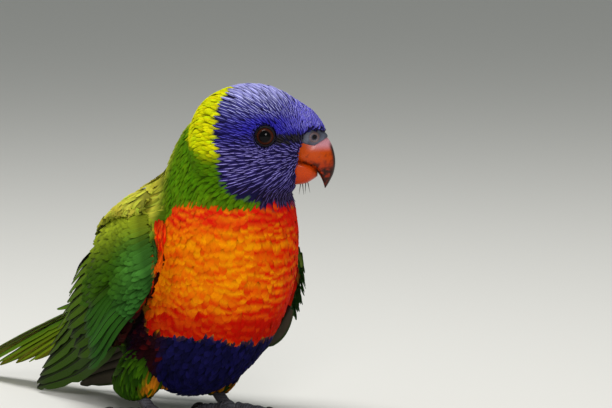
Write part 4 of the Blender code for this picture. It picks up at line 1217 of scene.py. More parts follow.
def covert_colour(spine, places, draw):
    """Green, with a red rim under the leading edge that turns dark maroon further under the wing: a
    painted shade.
    """
    spots = spine[:, 3]
    count = len(spots)
    _, _, s, t, over = wing_reading(spots)
    warm = blend("#D02204", "#9C1204", draw.random(count))
    # Far under the wing's sheet the red turns dark maroon: a painted shade under the wing.
    deep = 1 - soft(over + 6.5 - 2.5 * soft(s, 0.1, 0.2), -0.8, 0.8)
    warm = layered(warm, ("#2A0606", deep), ("#2E4A0A", soft(s, 0.45, 0.6)))
    ground = blend(wing_green(s, t), warm, (1 - soft(over, -3.4, -2.0)) * soft(t, 0.5, 0.7))
    ground = ground * draw.uniform(0.75, 1.25, (count, 1))
    # its base darkened: painted shade under the feathers over it
    tint = painted_shade_at_base(ground[:, None], places, 0.6, 0.3, 0.8)
    return tint, tint * 0.75


wing_plume = plume("wing covert, green", 0.03, 0.05, 0.4, 0.12, 0.03, 0.65, "#80B040")
for side_name, side in SIDES:
    here = face_on_wing & face_clear & (face_middles[:, 0] * side > 0)
    coat(
        "small_coverts_" + side_name, 7, here,
        gaps_growing((1.4, 2.0), (1.6, 3.0), face_s), 2.9, 0.88, ROUND_FEATHER,
        lambda tips: tips[:, 2] > 2, covert_colour, wing_plume,
        yaw=4.0, roll=4.0,
    )

SHEET_START = 0.26  # share across the sheet where the feathered wing starts
WING_LOWEST = 1.5  # no spine of a wing feather lies lower over the floor
SHEET_ROWS = 20  # steps along the sheet in its table of shares across
SHEET_COLUMNS = 40  # steps across it


def across_table(side_name):
    """For steps along the sheet, its own share across at even shares of the arc."""
    rows = []
    t = np.linspace(SHEET_START, 1, 25)
    for s in np.linspace(0, 1, SHEET_ROWS + 1):
        spots = sheet_spots(side_name, np.full_like(t, s), t)
        arc = np.concatenate([[0], np.cumsum(np.linalg.norm(np.diff(spots, axis=0), axis=1))])
        rows.append(np.interp(np.linspace(0, 1, SHEET_COLUMNS + 1), arc / arc[-1], t))
    return np.array(rows)


def across_at(table, s, share):
    """The sheet's own share across at even shares of the arc, read from the table."""
    row, column = np.clip(s, 0, 1) * SHEET_ROWS, np.clip(share, 0, 1) * SHEET_COLUMNS
    i = np.minimum(row.astype(int), SHEET_ROWS - 1)
    j = np.minimum(column.astype(int), SHEET_COLUMNS - 1)
    a, b = row - i, column - j
    return (
        table[i, j] * (1 - a) * (1 - b) + table[i + 1, j] * a * (1 - b)
        + table[i, j + 1] * (1 - a) * b + table[i + 1, j + 1] * a * b
    )


def on_sheet(side_name, root, tip, places, height, tilt):
    """Spines laid along the wing's sheet from roots to tips (shares along and across), with
    the way along, the way out and the way towards the leading edge at each ring."""
    way = root[:, None] + (tip - root)[:, None] * places[:, None]
    s = np.clip(way[..., 0], 0, 1)
    t = across_at(across_table(side_name), s, way[..., 1])
    outs = sheet_outward(side_name, s, t)
    spine = sheet_spots(side_name, s, t) + outs * height[..., None]
    spine[..., 2] = np.maximum(spine[..., 2], WING_LOWEST)
    along = unit(np.gradient(spine, axis=1))
    before, after = np.maximum(t - SHEET_STEP, 0), np.minimum(t + SHEET_STEP, 1)
    down = sheet_spots(side_name, s, after) - sheet_spots(side_name, s, before)
    down = laid_on(down, along)
    over = unit(outs - along * (outs * along).sum(-1, keepdims=True) - down * tilt)
    over = laid_on(over, along)
    return s, t, spine, along, over, down


ROW_STARTS = np.linspace(0.035, 0.39, 19)  # shares along the sheet where the rows start
ROW_COUNT = 22  # coverts in a row
ROW_LENGTH = 0.088  # share along the sheet that a covert is long
ROW_WIDTH = 2.0  # half its width
ROW_ROOT = -2.0  # height of a covert's root over the sheet
ROW_RISE = 2.4  # how much higher its tip lies
ROW_TILT = 0.12  # how far it is turned about its shaft
ROW_STOP = 0.62  # share across where the rows stop, to leave the alula free
ROW_FREE = 0.2  # share along up to which they go right across
ROW_REACH = 9.0  # a covert with flesh nearer than this over its tip is left out
SCALE_OUTLINE = (
    (0, 0.3), (0.25, 0.8), (0.5, 1), (0.7, 0.97), (0.85, 0.8), (0.95, 0.5), (1, 0.14),
)


def covert_rows(side_name):
    """Lesser and median coverts in staggered rows, like scales. They stop short of the alula,
    and are smaller towards the leading edge."""
    draw = np.random.default_rng(19)
    places, widths = np.array(SCALE_OUTLINE).T
    roots = []
    for row, start in enumerate(ROW_STARTS):
        share = (np.arange(ROW_COUNT) + 0.1 + 0.5 * (row % 2)) / ROW_COUNT
        share = share[(share < ROW_STOP) | (start < ROW_FREE)]
        roots.append(np.stack([np.full(len(share), start), share], 1))
    root = np.concatenate(roots)
    count = len(root)
    root = root + draw.uniform(-1, 1, (count, 2)) * (0.006, 0.008)
    small = 0.55 + 0.45 * soft(1 - root[:, 1], 0.03, 0.3)
    reach = ROW_LENGTH * draw.uniform(0.9, 1.15, count) * (1 + 0.9 * root[:, 0]) * small
    tip = root + np.stack([reach, draw.uniform(-0.012, 0.012, count)], 1)
    height = ROW_ROOT + ROW_RISE * places + draw.uniform(-0.1, 0.1, (count, 1)) * places
    s, t, spine, along, over, _ = on_sheet(side_name, root, tip, places, height, ROW_TILT)
    half = widths * (ROW_WIDTH * small * (0.85 + 0.5 * root[:, 0]))[:, None]
    half = half * draw.uniform(0.92, 1.08, (count, 1))
    seen = open_to_air(spine[:, -2], over[:, -2], ROW_REACH)
    s, t, spine, along, over, half = (part[seen] for part in (s, t, spine, along, over, half))
    ground = wing_green(s, t) * draw.uniform(0.72, 1.22, (len(half), 1, 1))
    # its base darkened: painted shade under the feathers over it
    tint = painted_shade_at_base(ground, places, 0.55, 0.45, 0.85)
    vanes = (places, spine, along, over, half, half, tint, tint * 0.8)
    vane_mesh("coverts_" + side_name, vanes, 0.16, 0.16, wing_plume)


for side_name, side in SIDES:
    covert_rows(side_name)

HIGH_TIER = -0.3  # a tier whose tips lie higher than this is seen over its whole width
LONG_TIERS = ("secondary", "primary")
WING_TIERS = (
    # name, how many, first and last root, first and last tip (shares along and across), root
    # and tip height, drop from each tip to the next, half width and tilt
    ("greater_covert", 14, (0.12, 0.10), (0.15, 0.66), (0.47, 0.10), (0.46, 0.66), -4.6, 0.1, 0.0,
     3.3, 0.16),
    ("primary_covert", 5, (0.22, 0.66), (0.24, 0.80), (0.51, 0.70), (0.54, 0.88), -3.6, 0.3, 0.0,
     3.2, 0.16),
    ("alula", 3, (0.21, 0.87), (0.20, 0.95), (0.51, 0.87), (0.575, 0.98), -2.3, 2.0, 0.3,
     3.2, 0.26),
    ("secondary", 11, (0.27, 0.12), (0.30, 0.80), (0.76, 0.11), (0.64, 0.86), -6.2, -0.5, 0.0,
     4.6, 0.20),
    ("primary", 9, (0.42, 0.28), (0.43, 0.90), (0.84, 0.16), (1.0, 0.98), -8.0, -1.1, 0.28,
     4.4, 0.14),
)
TIP_PLACES = (0.9, 0.93, 0.955, 0.975, 0.99, 1)  # rings crowd in the round of a large tip
SHORT_OUTLINE = (
    (0, 0.5), (0.15, 0.75), (0.4, 1.0), (0.7, 0.97), (0.86, 0.8), (0.95, 0.52), (1, 0.14),
)
LONG_OUTLINE = (
    (0, 0.5), (0.15, 0.8), (0.4, 1.0), (0.7, 0.96), (0.86, 0.76), (0.95, 0.48), (1, 0.12),
)
FLIGHT_SECTION = (
    (-1, 0, 0), (-0.62, 0.45, 0), (-0.3, 0.65, 0), (-0.07, 0.75, 0), (0, 1.5, 0), (0.07, 0.75, 0),
    (0.3, 0.65, 0), (0.62, 0.45, 0), (1, 0, 0), (0.45, -0.45, 1), (0, -0.9, 1), (-0.45, -0.45, 1),
)
FLIGHT_ACROSS = np.array(FLIGHT_SECTION)[:, 0]
FLIGHT_UNDER = np.array(FLIGHT_SECTION)[:, 2] > 0


def split_vanes(draw, shape, places, often, deep):
    """Here and there a narrower ring, as where the barbs of a large feather have parted."""
    return 1 - deep * (draw.random(shape) < often) * soft(places, 0.4, 0.5)


def wing_vanes(side_name):
    """The large feathers of one wing."""
    draw = np.random.default_rng(21)
    places = np.append(np.linspace(0, 0.86, 16), TIP_PLACES)
    parts = []
    for tier, count, root_a, root_b, tip_a, tip_b, low, high, drop, width, tilt in WING_TIERS:
        share = np.linspace(0, 1, count)[:, None]
        root, tip = between(root_a, root_b, share), between(tip_a, tip_b, share)
        tip[:, 0] = np.minimum(tip[:, 0] + draw.uniform(-0.01, 0.01, count), 1)
        height = low * (1 - places) + (high - drop * np.arange(count)[:, None]) * places
        s, t, spine, along, over, down = on_sheet(side_name, root, tip, places, height, tilt)
        outline = LONG_OUTLINE if tier in LONG_TIERS else SHORT_OUTLINE
        widths = read_off(outline, places) * width
        half = widths * draw.uniform(0.95, 1.05, (count, 1))
        splits = split_vanes(draw, half.shape, places, 0.07, 0.28)
        hand = np.sign((np.cross(along, over) * down).sum(-1))
        front, rear = half * 0.82 * splits, half * 1.15 * splits[:, ::-1]
        right = np.where(hand > 0, front, rear)
        left = np.where(hand > 0, rear, front)

        shows = (-0.85, -0.45) if high > HIGH_TIER else (-0.35, 0.0)
        outer = soft(FLIGHT_ACROSS * hand[..., None], *shows)
        shade = draw.uniform(0.8, 1.2, (count, 1))[..., None]
        green = wing_green(s, t) * shade
        if tier in ("alula", "primary_covert"):
            green = blend(green * 0.7, linear("#2A5A10") * shade, 0.6)
        if tier in LONG_TIERS:
            green = blend("#5A7410", "#2E4806", soft(t, 0.35, 0.85)) * shade
        outer_colour = blend(green, "#3E3C34", 0.55 * soft(places, 0.88, 1.0))
        # On the higher tiers the inner edge is the green at four tenths: painted shade in the lines
        # between the feathers. The flight feathers' inner web is their own blackish colour.
        inner_colour = (linear("#10120A") if high < HIGH_TIER else green[:, :1] * 0.4) * shade
        tint = blend(inner_colour[:, :, None], outer_colour[:, :, None], outer)
        tint = np.where(FLIGHT_UNDER[:, None], linear("#5C5448"), tint)
        shaft = np.broadcast_to(linear("#15140C"), (count, len(places), 3))
        thick = 0.32 * (1 - 0.55 * places) * np.ones((count, 1))
        parts.append((spine, along, over, left, right, tint, shaft, thick))
    return places, *(np.concatenate(group) for group in zip(*parts))


def feather_set(name, vanes, cup):
    """Large feathers as one piece. They are so few and so large that each has a whole cell of
    the map to itself."""
    *vanes, thick = vanes
    number = np.arange(len(thick))
    cells = math.ceil(math.sqrt(len(thick)))
    patches = (np.stack([number % cells, number // cells], 1) + 0.5) / cells
    return vane_mesh(
        name, vanes, thick, cup, flight_plume, patches, 0.9 / cells, FLIGHT_SECTION
    )


flight_plume = plume(
    "flight feather, stiff green and black", 0.05, 0.03, 0.5, 0.12, 0.0, 0.6, "#80A040"
)
for side_name, side in SIDES:
    wing = feather_set("wing_feathers_" + side_name, wing_vanes(side_name), 0.10)
    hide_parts("wing_" + side_name)


# The tail: twelve long narrow feathers, the middle two on top, with coverts over and under
# their roots. Green above, yellower below and at the edges.

RECTRICES = (
    # distance from the middle line at the root and towards the tip, layer, length, half width
    (0.2, 0.4, 0, 128.0, 4.6), (-0.4, -0.9, 1, 122.0, 4.6),
    (4.4, 4.7, 2.3, 104.0, 4.1), (-4.4, -4.7, 2.3, 106.0, 4.1),
    (4.9, 5.8, 3.3, 93.0, 4.1), (-4.9, -5.8, 3.3, 91.0, 4.1),
    (5.4, 6.9, 4.3, 80.0, 4.0), (-5.4, -6.9, 4.3, 81.5, 4.0),
    (5.8, 7.9, 5.3, 70.0, 3.9), (-5.8, -7.9, 5.3, 69.0, 3.9),
    (6.1, 8.8, 6.3, 60.0, 3.8), (-6.1, -8.8, 6.3, 61.0, 3.8),
)
TAIL_LAYER = 0.92  # how much lower each next feather lies at its root
TAIL_FAN = 2.4  # the same at its tip
TAIL_LEAN = 0.55  # how steeply the outer edges slope down
TAIL_SUNK = 3  # how deep in the flesh the feathers start
TAIL_LOWEST = 0.45  # no spine of a tail feather lies lower over the floor
TAIL_COVERTS = (
    # distance from the middle line, root and tip height, length, half width
    (0.0, 1.5, 2.6, 44.0, 4.2), (3.2, 1.2, 2.2, 40.0, 4.0), (-3.2, 1.2, 2.2, 41.0, 4.0),
    (5.6, 0.2, 1.3, 34.0, 3.6), (-5.6, 0.2, 1.3, 35.0, 3.6), (1.6, 1.9, 3.0, 30.0, 4.0),
    (-1.8, 1.9, 3.0, 28.0, 4.0), (4.4, 1.5, 2.4, 24.0, 3.6), (-4.4, 1.5, 2.4, 25.0, 3.6),
    (0.0, -7.2, -9.2, 56.0, 4.6), (4.4, -6.9, -8.4, 50.0, 4.2), (-4.4, -6.9, -8.4, 48.0, 4.2),
    (2.2, -7.6, -9.0, 42.0, 4.2), (-2.2, -7.6, -9.0, 40.0, 4.2), (6.2, -6.0, -7.2, 38.0, 3.8),
    (-6.2, -6.0, -7.2, 36.0, 3.8),
)
TAIL_OUTLINE = (
    (0, 0.7), (0.3, 0.95), (0.55, 1.0), (0.75, 0.85), (0.88, 0.6), (0.96, 0.32), (1, 0.08),
)


def tail_vanes():
    """The tail's long feathers, and the coverts over and under their roots."""
    draw = np.random.default_rng(31)
    places = np.append(np.linspace(0, 0.86, 26), TIP_PLACES)
    rows = [
        (a, b, -TAIL_LAYER * layer, -TAIL_FAN * layer, length, width)
        for a, b, layer, length, width in RECTRICES
    ]
    rows += [(a, a, low, high, length, width) for a, low, high, length, width in TAIL_COVERTS]
    inner, outer, low, high, length, width = (column[:, None] for column in np.array(rows).T)
    distance = -TAIL_SUNK + (length + TAIL_SUNK) * places
    sideways = inner * (1 - places) + outer * places
    spine = tail_place(distance, sideways, low * (1 - places) + high * places)
    spine[..., 2] = np.maximum(spine[..., 2], TAIL_LOWEST)
    along = unit(np.gradient(spine, axis=1))
    side = np.where(abs(inner) < 1, 0.0, np.sign(inner)) * np.ones_like(distance)
    over = unit(np.cross((1.0, 0, 0), along) + side[..., None] * np.array((TAIL_LEAN, 0, 0)))
    half = read_off(TAIL_OUTLINE, places) * width
    splits = split_vanes(draw, half.shape, places, 0.06, 0.25)
    right = half * np.where(side > 0, 0.85, 1.05) * splits
    left = half * np.where(side < 0, 0.85, 1.05) * splits[:, ::-1]
    shade = draw.uniform(0.85, 1.15, (len(rows), 1, 1))
    green = blend("#2A4A04", "#3E5C0C", soft(places, 0.2, 0.9)) * shade
    warm = linear("#5E7008") * shade * np.ones((1, len(places), 1))
    lower = soft(-low * np.ones_like(distance), 1.5, 5.0)
    ground = blend(green, warm, 0.75 * lower)
    edge = soft(abs(FLIGHT_ACROSS), 0.55, 1.0)
    tint = blend(ground[:, :, None], warm[:, :, None] * 0.9, 0.5 * edge)
    tint = np.where(FLIGHT_UNDER[:, None], linear("#7A7A14") * shade[..., None], tint)
    shaft = np.broadcast_to(linear("#1C1C0C"), (len(rows), len(places), 3))
    thick = 0.34 * (1 - 0.5 * places) * np.ones((len(rows), 1))
    return places, spine, along, over, left, right, tint, shaft, thick


tail = feather_set("tail_feathers", tail_vanes(), 0.30)
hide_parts("tail")


# The bill: two horny sheaths over the jaws, orange-red and polished, with a painted pinkish sheen of
# reflected light along the ridge near the root, growth lines along them, brown flecks at the cutting
# edge and a dark ridge and tip.

UPPER_BILL = (
    # ridge (ahead, up), cutting edge (ahead, up), half width
    (18.5, 1.0, 12.0, -11.4, 5.0), (24.4, -0.9, 14.5, -12.0, 5.7), (27.0, -3.6, 16.8, -12.8, 5.5),
    (28.5, -7.6, 19.0, -13.3, 5.0), (29.0, -11.8, 20.8, -14.2, 4.2), (28.4, -15.6, 22.3, -15.9, 3.1),
    (27.1, -18.5, 23.6, -18.0, 2.0), (25.9, -20.6, 24.5, -20.2, 1.1), (25.1, -21.8, 24.9, -21.7, 0.5),
)
LOWER_BILL = (
    # ahead, top, bottom, half width
    (11.5, -11.0, -20.6, 4.8), (14.6, -10.8, -20.4, 5.2), (17.6, -11.6, -19.9, 4.9),
    (20.0, -12.8, -18.6, 4.1), (22.0, -14.4, -17.2, 2.6),
)
JAW_RIM = 2.2  # how far under its top the lower bill is widest


def oval_ring(middle, side, up, half_width, half_up, half_down, count, fullness=2.0):
    """A ring round a middle point, higher above it than below or the other way round."""
    across, rise = rounded_turns(count, fullness)
    rise = rise * np.where(rise > 0, half_up, half_down)
    return middle + side * (across * half_width)[:, None] + up * rise[:, None]


def bill_rings(stations, rings, sides, ridge_share):
    """Rings between ridge and cutting edge: narrow at the ridge and widest low down."""
    found = []
    for row in through(stations, np.linspace(0, 1, rings)):
        edge = head_place(row[2], 0, row[3])
        rise = head_place(row[0], 0, row[1]) - edge
        over, under = np.linalg.norm(rise) * np.array((1 - ridge_share, ridge_share))
        middle = edge + rise * ridge_share
        found.append(oval_ring(middle, LEFTWARD, unit(rise), row[4], over, under, sides))
    return np.array(found)


def horn(name, roughness, ridges, speck):
    """Polished keratin: its painted colours broken by fine specks, with growth lines along
    it that catch the light, about so many ridges to a millimetre, under a thin clear gloss."""
    made, tree, shader = finish(
        name, Roughness=roughness, Coat_Weight=0.12, Coat_Roughness=0.15, Specular_IOR_Level=0.12
    )
    grain = add(tree, "Attribute", attribute_name="grain").outputs["Vector"]
    stretch = {0: grain, 1: (ridges, ridges, ridges * 0.12)}
    stretched = add(tree, "VectorMath", stretch, operation="MULTIPLY")
    lines = add(tree, "TexNoise", {"Vector": stretched, "Scale": 1.0, "Detail": 3.0})
    specks = add(tree, "TexNoise", {"Vector": grain, "Scale": 3.0, "Detail": 4.0})
    fade = {"From Min": 0.3, "From Max": 0.7, "To Min": 1 - speck, "To Max": 1 + 0.5 * speck}
    surface(tree, shader, add(tree, "MapRange", {"Value": specks, **fade}), lines, 0.12, 0.7)
    return made


def grained(thing, grain, tint):
    """Stores the colours of a piece's points, and where they lie in its material's grain."""
    paint(thing.data, "tint", tint)
    layer = thing.data.attributes.new("grain", "FLOAT_VECTOR", "POINT")
    layer.data.foreach_set("vector", grain.astype(np.float32).ravel())


bill_horn = horn("bill horn, orange-red and polished", 0.32, 1.6, 0.22)
rings, sides = 90, 56
points, faces = loft(bill_rings(UPPER_BILL, rings, sides, 0.36))
ahead, left, up = head_reading(points)
rows = through(UPPER_BILL, np.linspace(0, 1, rings))
rows = np.concatenate([np.repeat(rows, sides, axis=0), rows[[0, -1]]])
ridge = -np.hypot(ahead - rows[:, 0], up - rows[:, 1]) / 1.6
near_edge = 1 - soft(up - rows[:, 3], 0.4, 2.6)
fleck = 0.5 + 0.5 * ripple(points, 3.1, 2.0) + 0.3 * ripple(points, 1.3, 5.0)
tint = layered(
    blend("#A62E00", "#BA4402", soft(up, -14, -8)),
    # a painted pinkish sheen of reflected light over the top near the root
    ("#D8A0B2", 0.75 * soft(up, -7.5, -4.0) * soft(ahead, 17, 23)),
    ("#6E2208", 0.6 * soft(fleck, 0.62, 0.9) * soft(-up, 7, 9)),
    ("#7A1E04", 0.6 * soft(-up, 12.5, 17)),
    ("#22120C", soft(ridge, -0.8, -0.2) * soft(-up, 3, 6)),
    ("#2A120A", 0.9 * soft(-up, 16, 19.5) * soft(fleck, -0.2, 0.5)),
    ("#2A0E06", near_edge * soft(fleck, 0.0, 0.7) * soft(ahead, 12, 16)),
)
bill_upper = shaped("bill_upper_horn", points, faces, bill_horn)
grained(bill_upper, np.stack([left, up - ahead, ahead + up], 1), tint)
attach(bill_upper, "root")
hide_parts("bill_upper")

rings = []
for ahead, top, bottom, half_width in through(LOWER_BILL, np.linspace(0, 1, 50)):
    middle = head_place(ahead, 0, top - JAW_RIM)
    depth = top - JAW_RIM - bottom
    rings.append(oval_ring(middle, LEFTWARD, UP, half_width, JAW_RIM, depth, 48, 2.2))
points, faces = loft(rings)
ahead, left, up = head_reading(points)
fleck = 0.5 + 0.5 * ripple(points, 2.8, 2.0)
tint = layered(
    blend("#BE3E02", "#AA3002", soft(-up, 15, 20)),
    ("#4A1C0A", 0.8 * soft(ahead, 19.5, 22) * soft(fleck, 0.0, 0.7)),
    ("#5A200A", 0.7 * soft(up, -13.2, -11.8) * soft(fleck, 0.2, 0.8)),
)
bill_lower = shaped("bill_lower_horn", points, faces, bill_horn)
grained(bill_lower, np.stack([left, up, ahead], 1), tint)
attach(bill_lower, "root")
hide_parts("bill_lower")


# The cere: bare grey skin swollen over the root of the bill, finely wrinkled, with an open
# nostril in each side, a pit whose inside is painted near black as its shade.

CERE = (
    (15.5, 3.5, 14.0, -3.6, 5.2), (21.5, 2.6, 16.0, -5.2, 6.1), (25.2, -0.2, 18.2, -5.7, 6.2),
    (26.1, -1.6, 19.6, -5.9, 5.7),
)
NOSTRIL_AHEAD = 21.2
NOSTRIL_UP = -1.6


def bare_skin(name, wrinkle, depth, roughness, shine=0.3):
    """Bare skin with its own wrinkles, their width in millimetres, and a slightly waxy
    shine."""
    made, tree, shader = finish(name, Roughness=roughness, Specular_IOR_Level=shine)
    grain = add(tree, "Attribute", attribute_name="grain").outputs["Vector"]
    cells = {"Vector": grain, "Scale": 1 / wrinkle}
    folds = add(tree, "TexVoronoi", cells, feature="DISTANCE_TO_EDGE")
    fine = add(tree, "TexNoise", {"Vector": grain, "Scale": 2 / wrinkle, "Detail": 4.0})
    fold = add(tree, "MapRange", {"Value": folds, "From Max": 0.18, "To Min": 0.6})
    shade = add(tree, "Math", {0: fine, 1: 0.6, 2: fold}, operation="MULTIPLY_ADD")
    surface(tree, shader, shade, shade, depth, 0.8)
    return made


points, faces = loft(bill_rings(CERE, 48, 72, 0.42))
ahead, left, up = head_reading(points)
away = np.hypot(ahead - NOSTRIL_AHEAD, up - NOSTRIL_UP)
pit = 1 - soft(away, 0.35, 1.25)
rim = np.exp(-(((away - 1.6) / 0.45) ** 2))
inward = -np.sign(left)[:, None] * LEFTWARD
points = points + inward * (pit * 1.9 - rim * 0.28 + 0.05 * ripple(points, 1.2))[:, None]
tint = blend("#303440", "#5A5E6E", 0.5 + 0.5 * ripple(points, 4.0))
# The nostril's pit is painted near black: painted shade inside it.
tint = layered(tint, ("#6E4632", rim * 0.5), ("#140C0A", pit))
cere = shaped("cere_skin", points, faces, bare_skin("cere, grey wrinkled skin", 0.5, 0.10, 0.45))
grained(cere, np.stack([left, up, ahead], 1), tint)
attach(cere, "root")
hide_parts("cere")


# The eyes: glossy balls with a black pupil and a dark brown iris, redder at its rim, under a
# clear cornea.

EYE_RADIUS = 4.0  # of the ball
PUPIL = math.radians(33)  # angle from the eye's axis to the rim of the pupil
IRIS = math.radians(59)  # and to the rim of the iris
EYE_RINGS = 72
EYE_SIDES = 96


def eye_finish():
    """A wet eye: dark, with a mirror-clear coat that carries the one bright highlight."""
    made, tree, shader = finish(
        "eye, wet and glossy", Roughness=0.3, Coat_Weight=0.22, Coat_Roughness=0.02,
        Specular_IOR_Level=0.0,
    )
    grain = add(tree, "Attribute", attribute_name="grain").outputs["Vector"]
    fibres = add(tree, "TexNoise", {"Vector": grain, "Scale": 1.0, "Detail": 3.0})
    surface(tree, shader, add(tree, "MapRange", {"Value": fibres, "To Min": 0.6, "To Max": 1.4}))
    return made


wet_eye = eye_finish()
for side_name, side in SIDES:
    out = LEFTWARD * side
    turns = np.linspace(0.02, math.pi - 0.02, EYE_RINGS)[:, None, None]
    round_turns = np.linspace(0, 2 * math.pi, EYE_SIDES, endpoint=False)[:, None]
    radial = AHEAD * np.cos(round_turns) + UP * np.sin(round_turns)
    bulge = 1 + 0.02 * (1 - soft(turns, 0.5, 1.0))
    rings = eye_spot(side) + EYE_RADIUS * bulge * (out * np.cos(turns) + radial * np.sin(turns))
    points, faces = loft(rings)
    angle = np.append(np.repeat(turns.ravel(), EYE_SIDES), (0, math.pi))
    round_place = np.append(np.tile(round_turns.ravel(), EYE_RINGS), (0, 0))
    tint = blend("#2A1712", "#5E2A18", soft(angle, PUPIL, IRIS))
    tint = blend("#020203", tint, soft(angle, PUPIL - 0.03, PUPIL + 0.05))
    tint = blend(tint, "#0A0605", soft(angle, IRIS - 0.05, IRIS + 0.08))
    eye = shaped("eyeball_" + side_name, points, faces, wet_eye)
    fibres = np.stack([np.cos(round_place) * 9, np.sin(round_place) * 9, angle * 1.5], 1)
    grained(eye, fibres, tint)
    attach(eye, "root")
    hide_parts("eye_" + side_name)


# The lids: a ring of dark bare skin round each eye, in an upper and a lower arc, set with
# rows of small warts, and reaching just over the ball.

LID_RING = 3.65  # radius of the ring that the lids follow
LID_HALF = 0.5  # half a lid's width
LID_STEPS = 64
LID_SIDES = 20


def lid_form(side, start, end):
    """One arc of lid, with its grain."""
    out = LEFTWARD * side
    centre = eye_spot(side) + out * (math.sqrt(EYE_RADIUS**2 - LID_RING**2) + 0.9)
    round_ring = 2 * math.pi * np.arange(LID_SIDES) / LID_SIDES
    flat = np.zeros(LID_SIDES)
    rings, grain = [], []
    for k, turn in enumerate(np.linspace(start, end, LID_STEPS)):
        radial = AHEAD * math.cos(turn) + UP * math.sin(turn)
        taper = 0.62 + 0.38 * math.sin(math.pi * k / (LID_STEPS - 1)) ** 0.5
        ring = oval_ring(
            centre + radial * LID_RING, radial, out, LID_HALF * taper, 0.55 * taper,
            1.4 * taper, LID_SIDES,
        )
        warts = 0.08 * np.maximum(np.sin(turn * 26) * np.sin(round_ring * 4 + 1), 0)
        rings.append(ring + unit(ring - ring.mean(0)) * warts[:, None])
        grain.append(np.stack([flat + turn * LID_RING, round_ring, flat], 1))
    points, faces = loft(rings)
    return points, faces, np.concatenate(grain + [np.zeros((2, 3))])


lid_skin = bare_skin("eyelid, dark wrinkled skin", 0.3, 0.06, 0.5, 0.1)
for side_name, side in SIDES:
    for part, turn in (("upper", 1), ("lower", -1)):
        points, faces, grain = lid_form(side, 0.01 * turn, (math.pi - 0.01) * turn)
        tint = blend("#0A080C", "#1A161C", 0.5 + 0.5 * ripple(points, 1.6))
        lid = shaped(f"lid_{part}_skin_{side_name}", points, faces, lid_skin)
        grained(lid, grain, tint)
        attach(lid, "root")
        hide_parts(f"lid_{part}_{side_name}")


# The feet: short legs and two toes ahead and two behind, in grey scaly skin, with broad
# plates over each toe and rough pads under it. Claws are separate.

FOOT_SPREAD = 17.0  # from the middle line to the middle of a foot
FOOT_STEP = {"right": 2.0, "left": -2.0}  # how far back each foot stands
PAD_SIZE = (3.6, 3.9, 2.9)  # half the width, length and height of a foot's pad
SHANK = 2.3  # half the leg's thickness
SHANK_TOP = (0, 8.6, 9.2)  # where the leg's middle line starts, over the foot's middle
SHANK_FOOT = (0, 1.0, 3.6)  # and where it ends
PLATE = 1.25  # length of one plate along a toe
OUTWARD = np.array((1.0, 0.0, 0.0))
TOES = (
    # heading from straight ahead towards the outside, length, radius at the root and how far
    # outside the foot's middle line the root is
    ("inner_front", -12, 15.0, 2.1, -2.6),
    ("outer_front", 14, 20.0, 2.3, 2.6),
    ("inner_back", -162, 11.0, 2.0, -2.4),
    ("outer_back", 156, 17.0, 2.2, 2.5),
)
FOOT_GRAIN = 0.34  # the foot's own mesh, its width of face
FOOT_SIDES = 24
SOLE = 0.06  # how high over the floor the sole is before its scales are pressed in
CLAW_RINGS = 26
CLAW_ROOT = 1.25  # half its thickness where it starts
CLAW_TIP = 0.16  # and at its tip
CLAW_SIDES = 18
CLAW_CURVE = 6.5 * 0.62  # radius of the arc that a claw follows
CLAW_RISE = math.radians(18)  # how steeply it leaves the toe
CLAW_SWEEP = math.radians(96)


def foot_middle(side_name):
    """The place on the floor under the middle of a foot."""
    return np.array((dict(SIDES)[side_name] * FOOT_SPREAD, FOOT_STEP[side_name], 0.0))


def toe_way(side, heading):
    """The direction along a toe."""
    turn = math.radians(heading)
    return np.array((side * math.sin(turn), -math.cos(turn), 0.0))


def toe_rings(root, side, heading, length, radius):
    """A toe of three joints with a pad under each, flat where it stands."""
    along = toe_way(side, heading)
    across = np.cross(along, UP)
    rings = []
    for t in np.linspace(0, 1, 40):
        swell = 1 + 0.10 * math.cos(6 * math.pi * t)
        swell = swell * (1 - 0.28 * max(abs(2 * t - 1) - 0.9, 0) * 10)
        size = radius * (1 - 0.28 * t) * swell
        middle = root + along * (2.6 + (length - 2.6) * t) + UP * radius * (1 - 0.26 * t) * 0.86
        ring = oval_ring(middle, across, UP, size, size, size * 1.15, FOOT_SIDES)
        ring[:, 2] = np.maximum(ring[:, 2], SOLE)
        rings.append(ring)
    return rings


